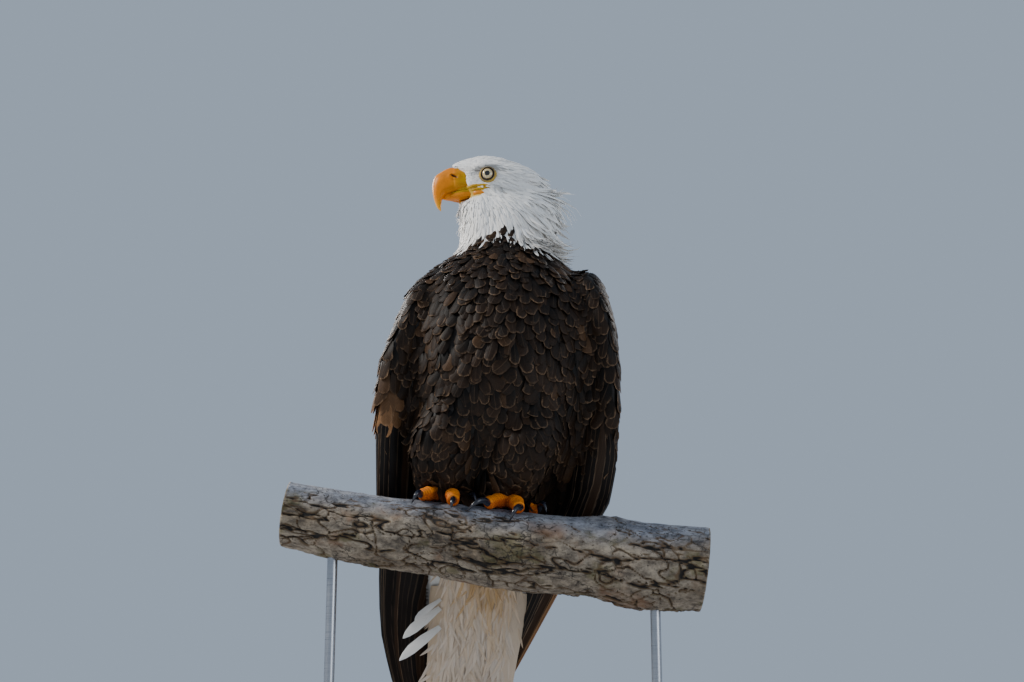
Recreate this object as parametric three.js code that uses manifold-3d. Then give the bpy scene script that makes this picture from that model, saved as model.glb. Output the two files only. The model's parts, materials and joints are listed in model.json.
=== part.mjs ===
// A life-size bald eagle as a museum shows it: perched on a cut limb, head turned to its right, the limb
// held over a flat base by two rods. Millimetres, +Z up. The bird faces -Y and its left side is at +X.
import * as THREE from "three";
import { mergeVertices } from "three/addons/utils/BufferGeometryUtils.js";
import Module from "manifold-3d";

const wasm = await Module();
wasm.setup();

// ---- Driving dimensions ----

const GAP = 0.3; // clearance between pieces that touch
const TINY = 0.02; // a section's half size where a form comes to a point

const BASE = { width: 460, depth: 340, thickness: 18, corner: 24, bevel: 2 };
const ROD = { radius: 6, apart: 372, sides: 12 };

// The limb's middle stands at this height, in front of the base's middle, and falls towards +X.
const LIMB = { height: 370, back: -50, length: 490, fall: 7.6, sag: 6, sides: 20, steps: 12 };
const LIMB_RADII = [
  [-245, 40.5],
  [-140, 41.5],
  [-35, 45.5],
  [70, 47],
  [150, 49.5],
  [245, 51],
];

// The bird's own frame starts a little above the limb's middle and leans towards +X, nearly square to it.
const BIRD = { across: -12, above: 5, lean: 5 };

// Trunk: height, middle across, middle back, half width, front half depth, back half depth.
const TRUNK_ROWS = [
  [28, -2, 97, 44, 30, 30],
  [40, -2, 92, 58, 42, 40],
  [70, -1, 70, 82, 74, 62],
  [110, 0, 42, 102, 92, 90],
  [170, 1, 24, 116, 110, 106],
  [230, 1, 16, 121, 112, 108],
  [290, 0, 14, 116, 100, 100],
  [326, -1, 16, 103, 82, 86],
  [338, -1, 17, 89, 75, 80],
  [350, 0, 18, 77, 68, 72],
  [368, -5, 19, 62, 58, 60],
];
// Neck: height, middle across, middle back, half width, half depth.
const NECK_ROWS = [
  [358, -4, 19, 67, 60],
  [372, -5, 18, 61, 58],
  [386, -5.5, 17, 58.5, 55],
  [401, -8, 15, 61.5, 51],
  [411, -8, 13, 65.5, 46],
  [418, -9, 12, 68, 42],
  [426, -6, 10, 60, 38],
  [438, -2, 7, 46, 30],
  [446, -2, 5, 30, 20],
];

// Head, in its own frame: its origin is midway between the eyes, and it faces -Y there.
const HEAD = { across: -36, back: 5, height: 448.5, turn: -87 };
// Head: distance ahead of the eyes, top, bottom, half width.
const HEAD_ROWS = [
  [-68, 3.5, -14.5, 12],
  [-60, 16.5, -26.5, 22],
  [-44, 25.5, -34.5, 30],
  [-22, 33.5, -36.5, 33],
  [0, 36.5, -31.5, 30.5],
  [18, 33.5, -27.5, 25],
  [32, 27, -24.5, 18],
  [41, 22, -22, 12.5],
];
const EYE = { radius: 12.5, aside: 20.5 };

// Upper bill: points ahead of the eyes and above them, along the ridge and along the cutting edge.
const RIDGE_POINTS = [
  [28, 20.5],
  [46.6, 16.9],
  [58.9, 10.3],
  [65.2, 4.4],
  [68, -6.5],
  [66.6, -20.5],
  [62.2, -33.6],
  [57.2, -39.4],
];
const CUTTING_POINTS = [
  [24, -15.2],
  [34, -17],
  [46, -18.8],
  [52, -20],
  [55.6, -24],
  [56.6, -30],
  [56.7, -39.2],
];
const UPPER_BILL_WIDTHS = [
  [0, 14.5],
  [0.3, 12.2],
  [0.6, 9.4],
  [0.85, 5.6],
  [1, 1.6],
];
// Lower bill: distance ahead, top, bottom, half width. Its top is inside the upper bill, which cuts it.
const LOWER_BILL_ROWS = [
  [10, -14.5, -25, 14.9],
  [28, -15, -26, 12.4],
  [42, -16, -25.9, 9.4],
  [51, -17.8, -25.5, 6],
  [55.4, -20.6, -24.4, 2.4],
];

// Wings: height, how far out the outline reaches, middle back, half length and half thickness of the
// section, and how far the section's long axis turns inwards at the back, in degrees.
const LEFT_WING_ROWS = [
  [348, 106, 16, 14, 8, 0],
  [337, 116, 12, 38, 20, 0],
  [305, 129, 12, 66, 30, 7],
  [263, 141, 22, 84, 34, 13],
  [213, 148, 36, 93, 33, 20],
  [163, 151, 52, 97, 31, 27],
  [113, 151, 68, 95, 27, 33],
  [63, 144, 87, 86, 23, 39],
  [10, 116, 107, 69, 17.5, 46],
  [-43, 93, 128, 55, 13, 54],
  [-96, 68, 150, 43, 10, 60],
  [-150, 42, 172, 30, 7, 64],
  [-205, 24, 192, 17, 4.5, 68],
  [-240, 15, 203, 7, 2, 70],
];
const RIGHT_WING_ROWS = [
  [331, 96, 16, 14, 8, 0],
  [320, 107, 12, 36, 18, 0],
  [290, 122, 12, 62, 27, 7],
  [245, 134, 22, 81, 32, 13],
  [200, 145, 36, 92, 33, 20],
  [145, 141, 52, 96, 31, 27],
  [95, 136, 68, 93, 27, 31],
  [45, 132, 87, 84, 23, 34],
  [-5, 126, 105, 71, 18.5, 38],
  [-60, 124, 126, 56, 14, 41],
  [-110, 117, 146, 45, 10.5, 46],
  [-160, 100, 166, 34, 8, 54],
  [-210, 70, 186, 22, 5, 60],
  [-248, 44, 199, 8, 2, 64],
];

// Tail: height, middle across, middle back, half width, half thickness.
const TAIL_ROWS = [
  [26.5, -2, 97, 52, 32],
  [0, -2, 104, 61, 28],
  [-50, -2, 117, 61, 20],
  [-100, -4, 132, 56, 12],
  [-160, -6, 149, 52, 7.5],
  [-220, -7, 166, 53, 5],
  [-262, -8, 178, 52, 3.6],
  [-282, -8, 184, 38, 2.8],
  [-292, -8, 187, 14, 2],
];

// Thighs: height, middle across (for the left one), middle back, half width, half depth.
const THIGH_ROWS = [
  [150, 50, -20, 38, 44],
  [115, 48, -24, 42, 46],
  [88, 44, -17, 41, 38],
  [70, 40, -3, 38, 28],
  [56, 38, 4, 35, 20],
  [46, 37, 6, 29, 14],
];
const THIGH_SHIFT = -16; // both feet stand a little towards the bird's right

// Feet stand on the limb: places along it, and angles round it from its top towards the front, in degrees.
const ANKLE = { angle: -14, lift: 12, radius: 13, legRadius: 9, legHeight: 34 };
const TOE = { knuckles: 2, around: 7, along: 6, taper: 0.22, swelling: 0.06 };
const CLAW = { radius: 5.2, tipRadius: 0.5, around: 6, along: 5, rise: 0.26 };
// Each toe: where its tip is along the limb from the ankle, the tip's angle round it, the toe's radius, the
// claw's length, how far the claw runs along the limb for each millimetre of it, and how far its point is raised.
const FEET = {
  right: {
    along: -60,
    toes: {
      outer: { along: -31, angle: 27, radius: 9.4, claw: 24, aside: -0.3, raise: 3 },
      middle: { along: 8, angle: 35, radius: 9.6, claw: 27, aside: 0, raise: 15 },
      inner: { along: 24, angle: -8, radius: 8.4, claw: 28, aside: 0.35, raise: 0 },
      hind: { along: 4, angle: -56, radius: 8.4, claw: 33, aside: 0, raise: 0 },
    },
  },
  left: {
    along: 12,
    toes: {
      outer: { along: 34, angle: -8, radius: 8, claw: 25, aside: 0.4, raise: 0 },
      middle: { along: 12, angle: 36, radius: 9.6, claw: 29, aside: -0.3, raise: 0 },
      inner: { along: -25, angle: 31, radius: 9.4, claw: 33, aside: -0.66, raise: 3 },
      hind: { along: -4, angle: -56, radius: 8.4, claw: 33, aside: 0, raise: 0 },
    },
  },
};

// ---- Helpers ----

const radians = THREE.MathUtils.degToRad;
const vector = (x, y, z) => new THREE.Vector3(x, y, z);

// Rows of [position, value, value, ...] become a smooth function from position to values.
function smoothTable(rows) {
  const sorted = [...rows].sort((a, b) => a[0] - b[0]);
  const width = rows[0].length - 1;
  const positions = sorted.map((row) => row[0]);
  const between = new THREE.CubicInterpolant(positions, sorted.flatMap((row) => row.slice(1)), width);
  return (position) => Array.from(between.evaluate(THREE.MathUtils.clamp(position, positions[0], positions.at(-1))));
}

// A geometry becomes a solid, turned the right way out.
function solidOf(geometry) {
  const shape = geometry.clone();
  shape.deleteAttribute("normal");
  shape.deleteAttribute("uv");
  const merged = mergeVertices(shape, 1e-3);
  const triVerts = new Uint32Array(merged.index.array);
  const vertProperties = merged.attributes.position.array;
  const made = new wasm.Manifold(new wasm.Mesh({ numProp: 3, vertProperties, triVerts }));
  if (made.volume() > 0) return made;
  for (let i = 0; i < triVerts.length; i += 3) {
    [triVerts[i + 1], triVerts[i + 2]] = [triVerts[i + 2], triVerts[i + 1]];
  }
  return new wasm.Manifold(new wasm.Mesh({ numProp: 3, vertProperties, triVerts }));
}

// A closed form round a row of rings. ringAt(t), with t from 0 to 1, gives the ring's middle and the half
// axes to its side, its front and its back.
function loft(ringAt, around, along) {
  const geometry = new THREE.CylinderGeometry(1, 1, 1, around, along);
  const places = geometry.getAttribute("position");
  const spot = vector(0, 0, 0);
  for (let i = 0; i < places.count; i++) {
    spot.fromBufferAttribute(places, i);
    const ring = ringAt(spot.y + 0.5);
    const ahead = spot.z > 0 ? ring.front : ring.back;
    const place = ring.middle.clone().addScaledVector(ring.side, spot.x).addScaledVector(ahead, spot.z);
    places.setXYZ(i, place.x, place.y, place.z);
  }
  return solidOf(geometry);
}

// Rings crowd towards both ends of a loft, where it rounds off.
const eased = (t) => (1 - Math.cos(Math.PI * t)) / 2;
const between = (rows, t) => THREE.MathUtils.lerp(rows[0][0], rows.at(-1)[0], eased(t));

// A loft of level sections, from its rows' values. It can be made a little larger all round, to cut with.
function levelLoft(rows, sectionOf, around, along) {
  const at = smoothTable(rows);
  const way = Math.sign(rows.at(-1)[0] - rows[0][0]);
  return (grow = 0) =>
    loft(
      (t) => {
        const height = between(rows, t);
        const section = sectionOf(at(height), grow);
        section.middle.z = height + way * grow * (2 * t - 1);
        return section;
      },
      around,
      along,
    );
}

// A section lying straight across, from its middle, half width, and half depths to the front and the back.
function straightSection(x, y, side, front, back, grow) {
  return {
    middle: vector(x, y, 0),
    side: vector(side + grow, 0, 0),
    front: vector(0, -front - grow, 0),
    back: vector(0, -back - grow, 0),
  };
}
const evenSection = ([x, y, side, depth], grow) => straightSection(x, y, side, depth, depth, grow);

// A loft that runs forward through the head, whose rows give its top, bottom and half width.
function headLoft(rows, around, along) {
  const at = smoothTable(rows);
  const way = Math.sign(rows.at(-1)[0] - rows[0][0]);
  return (grow = 0) =>
    loft(
      (t) => {
        const ahead = between(rows, t);
        const [top, bottom, side] = at(ahead);
        const up = vector(0, 0, (top - bottom) / 2 + grow);
        const middle = vector(0, -ahead - way * grow * (2 * t - 1), (top + bottom) / 2);
        return { middle, side: vector(side + grow, 0, 0), front: up, back: up };
      },
      around,
      along,
    );
}

// A round bar that follows a curve, with its radius given along it.
function bar(curve, radiusAt, around, along, grow = 0) {
  return loft(
    (t) => {
      const ahead = curve.getTangentAt(t);
      const side = vector(0, 0, 1).cross(ahead).normalize();
      const radius = radiusAt(t) + grow;
      const up = ahead.clone().cross(side).multiplyScalar(radius);
      const middle = curve.getPointAt(t).addScaledVector(ahead, grow * (2 * t - 1));
      return { middle, side: side.multiplyScalar(radius), front: up, back: up };
    },
    around,
    along,
  );
}

const moved = (solid, matrix) => solid.transform(matrix.elements);

// What is left of a solid once others are cut from it, without any crumbs the cuts leave.
function cutBy(solid, others) {
  const left = others.reduce((rest, other) => rest.subtract(other), solid);
  return left.decompose().reduce((largest, body) => (body.volume() > largest.volume() ? body : largest));
}

// ---- Frames ----

const part = new THREE.Group();

const limbFrame = new THREE.Group();
limbFrame.position.set(0, LIMB.back, LIMB.height);
limbFrame.rotation.y = radians(LIMB.fall);
part.add(limbFrame);

const birdFrame = new THREE.Group();
birdFrame.position.set(BIRD.across, LIMB.back, LIMB.height + BIRD.above);
birdFrame.rotation.y = radians(BIRD.lean);
part.add(birdFrame);

const headFrame = new THREE.Group();
headFrame.position.set(HEAD.across, HEAD.back, HEAD.height);
headFrame.rotation.set(0, radians(-BIRD.lean), radians(HEAD.turn)); // level, whatever the body's lean
birdFrame.add(headFrame);

part.updateMatrixWorld(true);

const finish = (color, roughness, metalness = 0) => new THREE.MeshStandardMaterial({ color, roughness, metalness });
const MATERIALS = {
  whiteFeather: finish(0xe8e5dd, 0.8),
  darkFeather: finish(0x33281f, 0.75),
  flightFeather: finish(0x211b18, 0.6),
  bill: finish(0xe8981e, 0.35),
  eye: finish(0xe9d9a4, 0.08),
  foot: finish(0xe39a1d, 0.5),
  claw: finish(0x17181d, 0.25),
  bark: finish(0x8d8781, 0.9),
  steel: finish(0xb9bbbd, 0.3, 1),
  base: finish(0x2a2624, 0.5),
};

// Solids are cut in the part's own frame, then each becomes a mesh in the group it belongs to.
function addPiece(name, solid, material, frame = part) {
  const { vertProperties, triVerts } = moved(solid, frame.matrixWorld.clone().invert()).getMesh();
  const geometry = new THREE.BufferGeometry();
  geometry.setAttribute("position", new THREE.BufferAttribute(vertProperties, 3));
  geometry.setIndex(new THREE.BufferAttribute(triVerts, 1));
  geometry.computeVertexNormals();
  const mesh = new THREE.Mesh(geometry, material);
  mesh.name = name;
  frame.add(mesh);
}

const inBird = (solid) => moved(solid, birdFrame.matrixWorld);
const inHead = (solid) => moved(solid, headFrame.matrixWorld);
const onLimb = (solid) => moved(solid, limbFrame.matrixWorld);

// ---- The limb ----

const limbRadius = smoothTable(LIMB_RADII);
const limbMiddle = (along) => LIMB.sag * ((2 * along) / LIMB.length) ** 2;

// A point over the limb's surface, in the limb's frame.
function overLimb(along, angle, lift) {
  const reach = limbRadius(along)[0] + lift;
  const turn = radians(angle);
  return vector(along, -reach * Math.sin(turn), limbMiddle(along) + reach * Math.cos(turn));
}

// The limb isn't quite round: a slow wave runs round it and along it.
function makeLimb(grow = 0) {
  return loft(
    (t) => {
      const along = (t - 0.5) * LIMB.length;
      const radius = limbRadius(along)[0] + grow;
      return {
        middle: vector(along, 0, limbMiddle(along)),
        side: vector(0, radius * (1 + 0.03 * Math.sin(along / 34)), 0),
        front: vector(0, 0, radius),
        back: vector(0, 0, radius * (1 + 0.05 * Math.sin(along / 27 + 1))),
      };
    },
    LIMB.sides,
    LIMB.steps,
  );
}

const limbGrown = onLimb(makeLimb(GAP));

// ---- The stand ----

const baseOutline = new THREE.Shape();
const [halfWidth, halfDepth] = [BASE.width / 2 - BASE.bevel, BASE.depth / 2 - BASE.bevel];
baseOutline.moveTo(halfWidth - BASE.corner, -halfDepth);
for (const [sideways, along, start] of [
  [1, -1, -90],
  [1, 1, 0],
  [-1, 1, 90],
  [-1, -1, 180],
]) {
  const middle = [sideways * (halfWidth - BASE.corner), along * (halfDepth - BASE.corner)];
  baseOutline.absarc(...middle, BASE.corner, radians(start), radians(start + 90), false);
}
const plate = new THREE.ExtrudeGeometry(baseOutline, {
  depth: BASE.thickness - 2 * BASE.bevel,
  bevelThickness: BASE.bevel,
  bevelSize: BASE.bevel,
  bevelSegments: 1,
  curveSegments: 3,
});
plate.translate(0, 0, BASE.bevel);
addPiece("stand_base", solidOf(plate), MATERIALS.base);

for (const [name, sideways] of [
  ["stand_rod_left", 1],
  ["stand_rod_right", -1],
]) {
  const length = LIMB.height - BASE.thickness - GAP;
  const rod = new THREE.CylinderGeometry(ROD.radius, ROD.radius, length, ROD.sides);
  rod.rotateX(Math.PI / 2);
  rod.translate((sideways * ROD.apart) / 2, LIMB.back, BASE.thickness + GAP + length / 2);
  addPiece(name, solidOf(rod).subtract(limbGrown), MATERIALS.steel);
}

addPiece("perch_limb", onLimb(makeLimb()), MATERIALS.bark, limbFrame);

// ---- Feet and claws ----

// A toe runs from the ankle over the limb and stays on its surface. Its knuckles swell a little.
function makeToe(foot, toe, grow) {
  const stations = [0, 0.33, 0.67, 1].map((t) =>
    overLimb(
      foot.along + toe.along * t,
      THREE.MathUtils.lerp(ANKLE.angle, toe.angle, t),
      THREE.MathUtils.lerp(ANKLE.lift, toe.radius * (1 - TOE.taper), Math.min(1, 1.3 * t)),
    ),
  );
  const swell = (t) => 1 + TOE.swelling * Math.cos(2 * Math.PI * TOE.knuckles * t);
  const radiusAt = (t) => toe.radius * (1 - TOE.taper * t) * swell(t);
  return onLimb(bar(new THREE.CatmullRomCurve3(stations), radiusAt, TOE.around, TOE.along, grow));
}

// A claw starts inside the toe's end, rises over it and curves down to the bark.
function makeClaw(foot, toe, grow = 0) {
  const reach = limbRadius(foot.along)[0] + toe.radius;
  const span = (Math.sign(toe.angle - ANKLE.angle) * THREE.MathUtils.radToDeg(toe.claw / reach)) * 0.85;
  const stations = [-0.12, 0.15, 0.4, 0.7, 1].map((t) =>
    overLimb(
      foot.along + toe.along + toe.aside * toe.claw * t,
      toe.angle + span * (1 - 0.5 * Math.abs(toe.aside)) * Math.sin((t * Math.PI) / 2),
      toe.radius * (0.85 - 0.72 * Math.abs(t) ** 1.6) +
        CLAW.rise * toe.claw * Math.sin(Math.PI * Math.max(t, 0)) +
        toe.raise * Math.max(t, 0) ** 1.3,
    ),
  );
  const radiusAt = (t) => CLAW.tipRadius + CLAW.radius * (1 - t) ** 0.75;
  return onLimb(bar(new THREE.CatmullRomCurve3(stations), radiusAt, CLAW.around, CLAW.along, grow));
}

const feetGrown = [];
for (const [side, foot] of Object.entries(FEET)) {
  const ankle = overLimb(foot.along, ANKLE.angle, ANKLE.lift);
  const ball = (grow) => {
    const sphere = new THREE.SphereGeometry(ANKLE.radius + grow, 10, 6);
    return onLimb(solidOf(sphere.translate(ankle.x, ankle.y, ankle.z)));
  };
  const shank = (grow) => {
    const height = ANKLE.legHeight + grow;
    const leg = new THREE.CylinderGeometry(ANKLE.legRadius + grow, ANKLE.legRadius + grow, height, 10);
    return onLimb(solidOf(leg.rotateX(Math.PI / 2).translate(ankle.x, ankle.y, ankle.z + height / 2)));
  };
  const whole = (grow) => {
    const toes = Object.values(foot.toes).map((toe) => makeToe(foot, toe, grow));
    return toes.reduce((all, toe) => all.add(toe), ball(grow).add(shank(grow)));
  };
  const grown = whole(GAP);
  feetGrown.push(Object.values(foot.toes).reduce((all, toe) => all.add(makeClaw(foot, toe, GAP)), grown));
  addPiece(`foot_${side}`, cutBy(whole(0), [limbGrown]), MATERIALS.foot, limbFrame);
  for (const [name, toe] of Object.entries(foot.toes)) {
    addPiece(`claw_${side}_${name}`, cutBy(makeClaw(foot, toe), [grown, limbGrown]), MATERIALS.claw, limbFrame);
  }
}

// ---- Trunk, tail and legs ----

const trunkForm = levelLoft(TRUNK_ROWS, ([...values], grow) => straightSection(...values, grow), 20, 14);
const tailForm = levelLoft(TAIL_ROWS, evenSection, 16, 11);
const trunkGrown = inBird(trunkForm(GAP));
const tailGrown = inBird(tailForm(GAP));

addPiece("trunk", cutBy(inBird(trunkForm()), [limbGrown, ...feetGrown]), MATERIALS.darkFeather, birdFrame);
addPiece("tail", cutBy(inBird(tailForm()), [trunkGrown]), MATERIALS.whiteFeather, birdFrame);

const legsGrown = [];
for (const [side, way, footGrown] of [
  ["right", -1, feetGrown[0]],
  ["left", 1, feetGrown[1]],
]) {
  const rows = THIGH_ROWS.map(([height, x, ...rest]) => {
    const follow = THREE.MathUtils.smoothstep(150 - height, 0, 80);
    return [height, way * x + THIGH_SHIFT * follow, ...rest];
  });
  const form = levelLoft(rows, evenSection, 12, 5);
  const leg = cutBy(inBird(form()), [trunkGrown, limbGrown, footGrown]);
  addPiece(`leg_${side}`, leg, MATERIALS.darkFeather, birdFrame);
  legsGrown.push(inBird(form(GAP)));
}

// ---- Wings ----

// A wing's section is long from front to back, thin, and turned in at the back.
function wingSection(way, [outline, y, long, thick, turn], grow) {
  const [inward, backward] = [Math.sin(radians(turn)), Math.cos(radians(turn))];
  const x = outline - Math.hypot(long * inward, thick * backward);
  return {
    middle: vector(way * x, y, 0),
    side: vector(way * backward, inward, 0).multiplyScalar(thick + grow),
    front: vector(way * inward, -backward, 0).multiplyScalar(long + grow),
    back: vector(way * inward, -backward, 0).multiplyScalar(long + grow),
  };
}

for (const [side, way, rows] of [
  ["left", 1, LEFT_WING_ROWS],
  ["right", -1, RIGHT_WING_ROWS],
]) {
  const form = levelLoft(rows, (values, grow) => wingSection(way, values, grow), 16, 16);
  const wing = cutBy(inBird(form()), [trunkGrown, tailGrown, limbGrown, ...legsGrown]);
  addPiece(`wing_${side}`, wing, MATERIALS.flightFeather, birdFrame);
}

// ---- Head, neck, bill and eyes ----

// The upper bill's sections stand across it, between its ridge and its cutting edge.
const ridge = new THREE.SplineCurve(RIDGE_POINTS.map(([ahead, up]) => new THREE.Vector2(ahead, up)));
const cuttingEdge = new THREE.SplineCurve(CUTTING_POINTS.map(([ahead, up]) => new THREE.Vector2(ahead, up)));
const upperBillWidth = smoothTable(UPPER_BILL_WIDTHS);

function upperBillForm(grow = 0) {
  return loft(
    (t) => {
      const [high, low] = [ridge.getPoint(t), cuttingEdge.getPoint(t)];
      const half = high.clone().sub(low).multiplyScalar(0.5);
      const middle = high.add(low).multiplyScalar(0.5);
      const reach = half.clone().setLength(half.length() + grow);
      const up = vector(0, -reach.x, reach.y);
      return {
        middle: vector(0, -middle.x, middle.y - grow * Math.max(0, 2 * t - 1)),
        side: vector(upperBillWidth(t)[0] + grow, 0, 0),
        front: up,
        back: up,
      };
    },
    12,
    11,
  );
}
const lowerBillForm = headLoft(LOWER_BILL_ROWS, 10, 5);
const headForm = headLoft(HEAD_ROWS, 18, 11);

const upperBillGrown = inHead(upperBillForm(GAP));
const lowerBillGrown = inHead(lowerBillForm(GAP));
const headGrown = inHead(headForm(GAP));
const inTheHead = [upperBillGrown, lowerBillGrown];
for (const [side, way] of [
  ["left", 1],
  ["right", -1],
]) {
  const eye = (grow) => {
    const ball = new THREE.SphereGeometry(EYE.radius + grow, 12, 8);
    return inHead(solidOf(ball.translate(way * EYE.aside, 0, 0)));
  };
  addPiece(`eye_${side}`, eye(0), MATERIALS.eye, headFrame);
  inTheHead.push(eye(GAP));
}

addPiece("head", cutBy(inHead(headForm()), inTheHead), MATERIALS.whiteFeather, headFrame);
addPiece("bill_upper", inHead(upperBillForm()), MATERIALS.bill, headFrame);
addPiece("bill_lower", cutBy(inHead(lowerBillForm()), [upperBillGrown]), MATERIALS.bill, headFrame);

const neckForm = levelLoft(NECK_ROWS, evenSection, 18, 7);
const neck = cutBy(inBird(neckForm()), [trunkGrown, headGrown, ...inTheHead]);
addPiece("neck", neck, MATERIALS.whiteFeather, birdFrame);

export default part;
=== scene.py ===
# %% [markdown]
# # A bald eagle on a cut limb
# A museum's still model of an adult bald eagle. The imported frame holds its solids: trunk, neck, head, wings,
# legs, tail, feet, claws, bill, eyes, the limb and the stand. This lesson turns them into something to look at.
# One smooth skin is made under the plumage, thousands of thin vanes are laid over it as feathers lie on a bird,
# and the bill, eyes, claws, feet, limb and stand are each modelled and finished by themselves.

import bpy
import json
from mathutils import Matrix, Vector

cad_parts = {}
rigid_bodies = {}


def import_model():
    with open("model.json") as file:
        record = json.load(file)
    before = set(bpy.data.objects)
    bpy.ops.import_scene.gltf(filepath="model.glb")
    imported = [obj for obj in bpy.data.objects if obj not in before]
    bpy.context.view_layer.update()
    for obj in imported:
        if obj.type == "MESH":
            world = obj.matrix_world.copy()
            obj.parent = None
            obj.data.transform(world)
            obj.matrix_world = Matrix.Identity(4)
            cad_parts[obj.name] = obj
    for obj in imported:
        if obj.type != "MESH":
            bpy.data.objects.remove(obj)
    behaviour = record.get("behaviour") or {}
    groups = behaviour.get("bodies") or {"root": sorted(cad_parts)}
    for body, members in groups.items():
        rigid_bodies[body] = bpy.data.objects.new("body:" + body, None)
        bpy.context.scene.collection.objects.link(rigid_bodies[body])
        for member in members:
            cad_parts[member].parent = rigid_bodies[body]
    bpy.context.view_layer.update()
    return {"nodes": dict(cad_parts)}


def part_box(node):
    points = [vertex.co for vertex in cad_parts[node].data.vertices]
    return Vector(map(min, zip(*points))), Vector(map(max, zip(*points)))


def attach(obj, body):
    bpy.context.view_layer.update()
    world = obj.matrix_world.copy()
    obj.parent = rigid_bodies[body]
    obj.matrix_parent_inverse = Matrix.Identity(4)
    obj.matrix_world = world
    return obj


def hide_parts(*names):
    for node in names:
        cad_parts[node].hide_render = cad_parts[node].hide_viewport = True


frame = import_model()

# %% Tools
import json
import math

import bmesh
import bpy
import numpy as np
from mathutils import Matrix, Vector
from mathutils.bvhtree import BVHTree

MM = 0.001
chance = np.random.default_rng(46)


def linear(red, green, blue):
    """A colour as a screen shows it, 0 to 255, in the units that shaders use."""
    return tuple(((c / 255 + 0.055) / 1.055) ** 2.4 if c > 10 else c / 255 / 12.92 for c in (red, green, blue)) + (1,)


# %% [markdown]
# ## The bird's own frames
# The bird leans a little to its left on a limb that falls to its left, and its head is turned to its right, so it
# is easiest to think in frames of its own. The bird frame starts in the limb: there +Z runs up the body, -Y is
# the way the breast faces and +X is its left. The head frame starts between the eyes, and faces -Y too.

# %% Frames
LIMB_HEIGHT, LIMB_BACK = 370 * MM, -50 * MM
bird_frame = Matrix.Translation((-12 * MM, LIMB_BACK, LIMB_HEIGHT + 5 * MM)) @ Matrix.Rotation(math.radians(5), 4, "Y")
head_turn = Matrix.Rotation(math.radians(-5), 4, "Y") @ Matrix.Rotation(math.radians(-87), 4, "Z")
head_frame = bird_frame @ Matrix.Translation((-36 * MM, 5 * MM, 448.5 * MM)) @ head_turn
limb_frame = Matrix.Translation((0, LIMB_BACK, LIMB_HEIGHT)) @ Matrix.Rotation(math.radians(7.6), 4, "Y")


def into(matrix, points):
    """Points of the room, in metres, in a frame's own millimetres."""
    inverse = np.array(matrix.inverted())
    return (points @ inverse[:3, :3].T + inverse[:3, 3]) / MM


def out_of(matrix, points):
    """Points in a frame's own millimetres, in metres in the room."""
    full = np.array(matrix)
    return np.asarray(points) * MM @ full[:3, :3].T + full[:3, 3]


def turned(matrix, directions):
    """Directions in a frame, as directions in the room."""
    return np.asarray(directions, float) @ np.array(matrix)[:3, :3].T


def unit(vectors):
    return vectors / np.maximum(np.linalg.norm(vectors, axis=-1, keepdims=True), 1e-9)


print("eyes' middle at", [round(x, 3) for x in head_frame.translation])

# %% [markdown]
# ## Camera
# The bird sits high in a tree and is seen from below: the lens looks up by 16 degrees. From two metres away that
# puts the camera just over the floor, with the bird filling the picture's height and the limb crossing it low.

# %% Camera
LOOK_UP, DISTANCE, SEEN_WIDTH = math.radians(16), 2.0, 1.229
aim = Vector((21.6 * MM, LIMB_BACK, 619 * MM))
ahead = Vector((0, math.cos(LOOK_UP), math.sin(LOOK_UP)))
camera = bpy.data.objects.new("camera", bpy.data.cameras.new("camera"))
camera.data.sensor_width = 36
camera.data.lens = 36 * DISTANCE / SEEN_WIDTH
camera.location = aim - ahead * DISTANCE
camera.rotation_euler = ahead.to_track_quat("-Z", "Y").to_euler()
bpy.context.collection.objects.link(camera)
bpy.context.scene.camera = camera
print("camera height", round(camera.location.z, 3), "lens", round(camera.data.lens, 1))

# %% [markdown]
# ## Light, floor and room
# Daylight falls from high on the left and a little behind, so the left edge of the head and the top of the limb
# are bright. A large soft lamp stands in for it, with a weaker, cooler one on the right and the pale room as fill.
# The room is a mid-tone, so that white feathers stand out from it.

# %% Lights and floor
def soft_lamp(name, place, target, size, watts, color):
    lamp = bpy.data.lights.new(name, "AREA")
    lamp.shape = "DISK"
    lamp.size = size
    lamp.energy = watts
    lamp.color = color[:3]
    holder = bpy.data.objects.new(name, lamp)
    holder.location = place
    holder.rotation_euler = (Vector(target) - Vector(place)).to_track_quat("-Z", "Y").to_euler()
    bpy.context.collection.objects.link(holder)


MIDDLE_OF_BIRD = (0, 0, 0.6)
soft_lamp("key_lamp", (-2.3, -0.5, 2.3), MIDDLE_OF_BIRD, 0.7, 92, (1, 0.96, 0.9))
soft_lamp("rim_lamp", (-1.5, 1.6, 1.9), MIDDLE_OF_BIRD, 0.8, 40, (1, 0.97, 0.93))
soft_lamp("nape_lamp", (1.7, 1.5, 1.9), MIDDLE_OF_BIRD, 0.8, 22, (1, 0.98, 0.95))
soft_lamp("fill_lamp", (2.2, -1.8, 1.0), MIDDLE_OF_BIRD, 1.6, 20, (0.9, 0.95, 1))

world = bpy.data.worlds.new("room")
world.use_nodes = True
world.node_tree.nodes["Background"].inputs["Color"].default_value = linear(176, 192, 212)
world.node_tree.nodes["Background"].inputs["Strength"].default_value = 0.75
bpy.context.scene.world = world

floor_mesh = bpy.data.meshes.new("floor")
sheet = bmesh.new()
bmesh.ops.create_grid(sheet, x_segments=1, y_segments=1, size=6)
sheet.to_mesh(floor_mesh)
sheet.free()
floor = bpy.data.objects.new("floor", floor_mesh)
bpy.context.collection.objects.link(floor)
print("lamps and floor in place")

# %% [markdown]
# ## Materials
# Every finish is a small tree of nodes round one Principled shader. Two short helpers keep the trees readable:
# one adds a node with its settings and links, the other starts a material.

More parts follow.
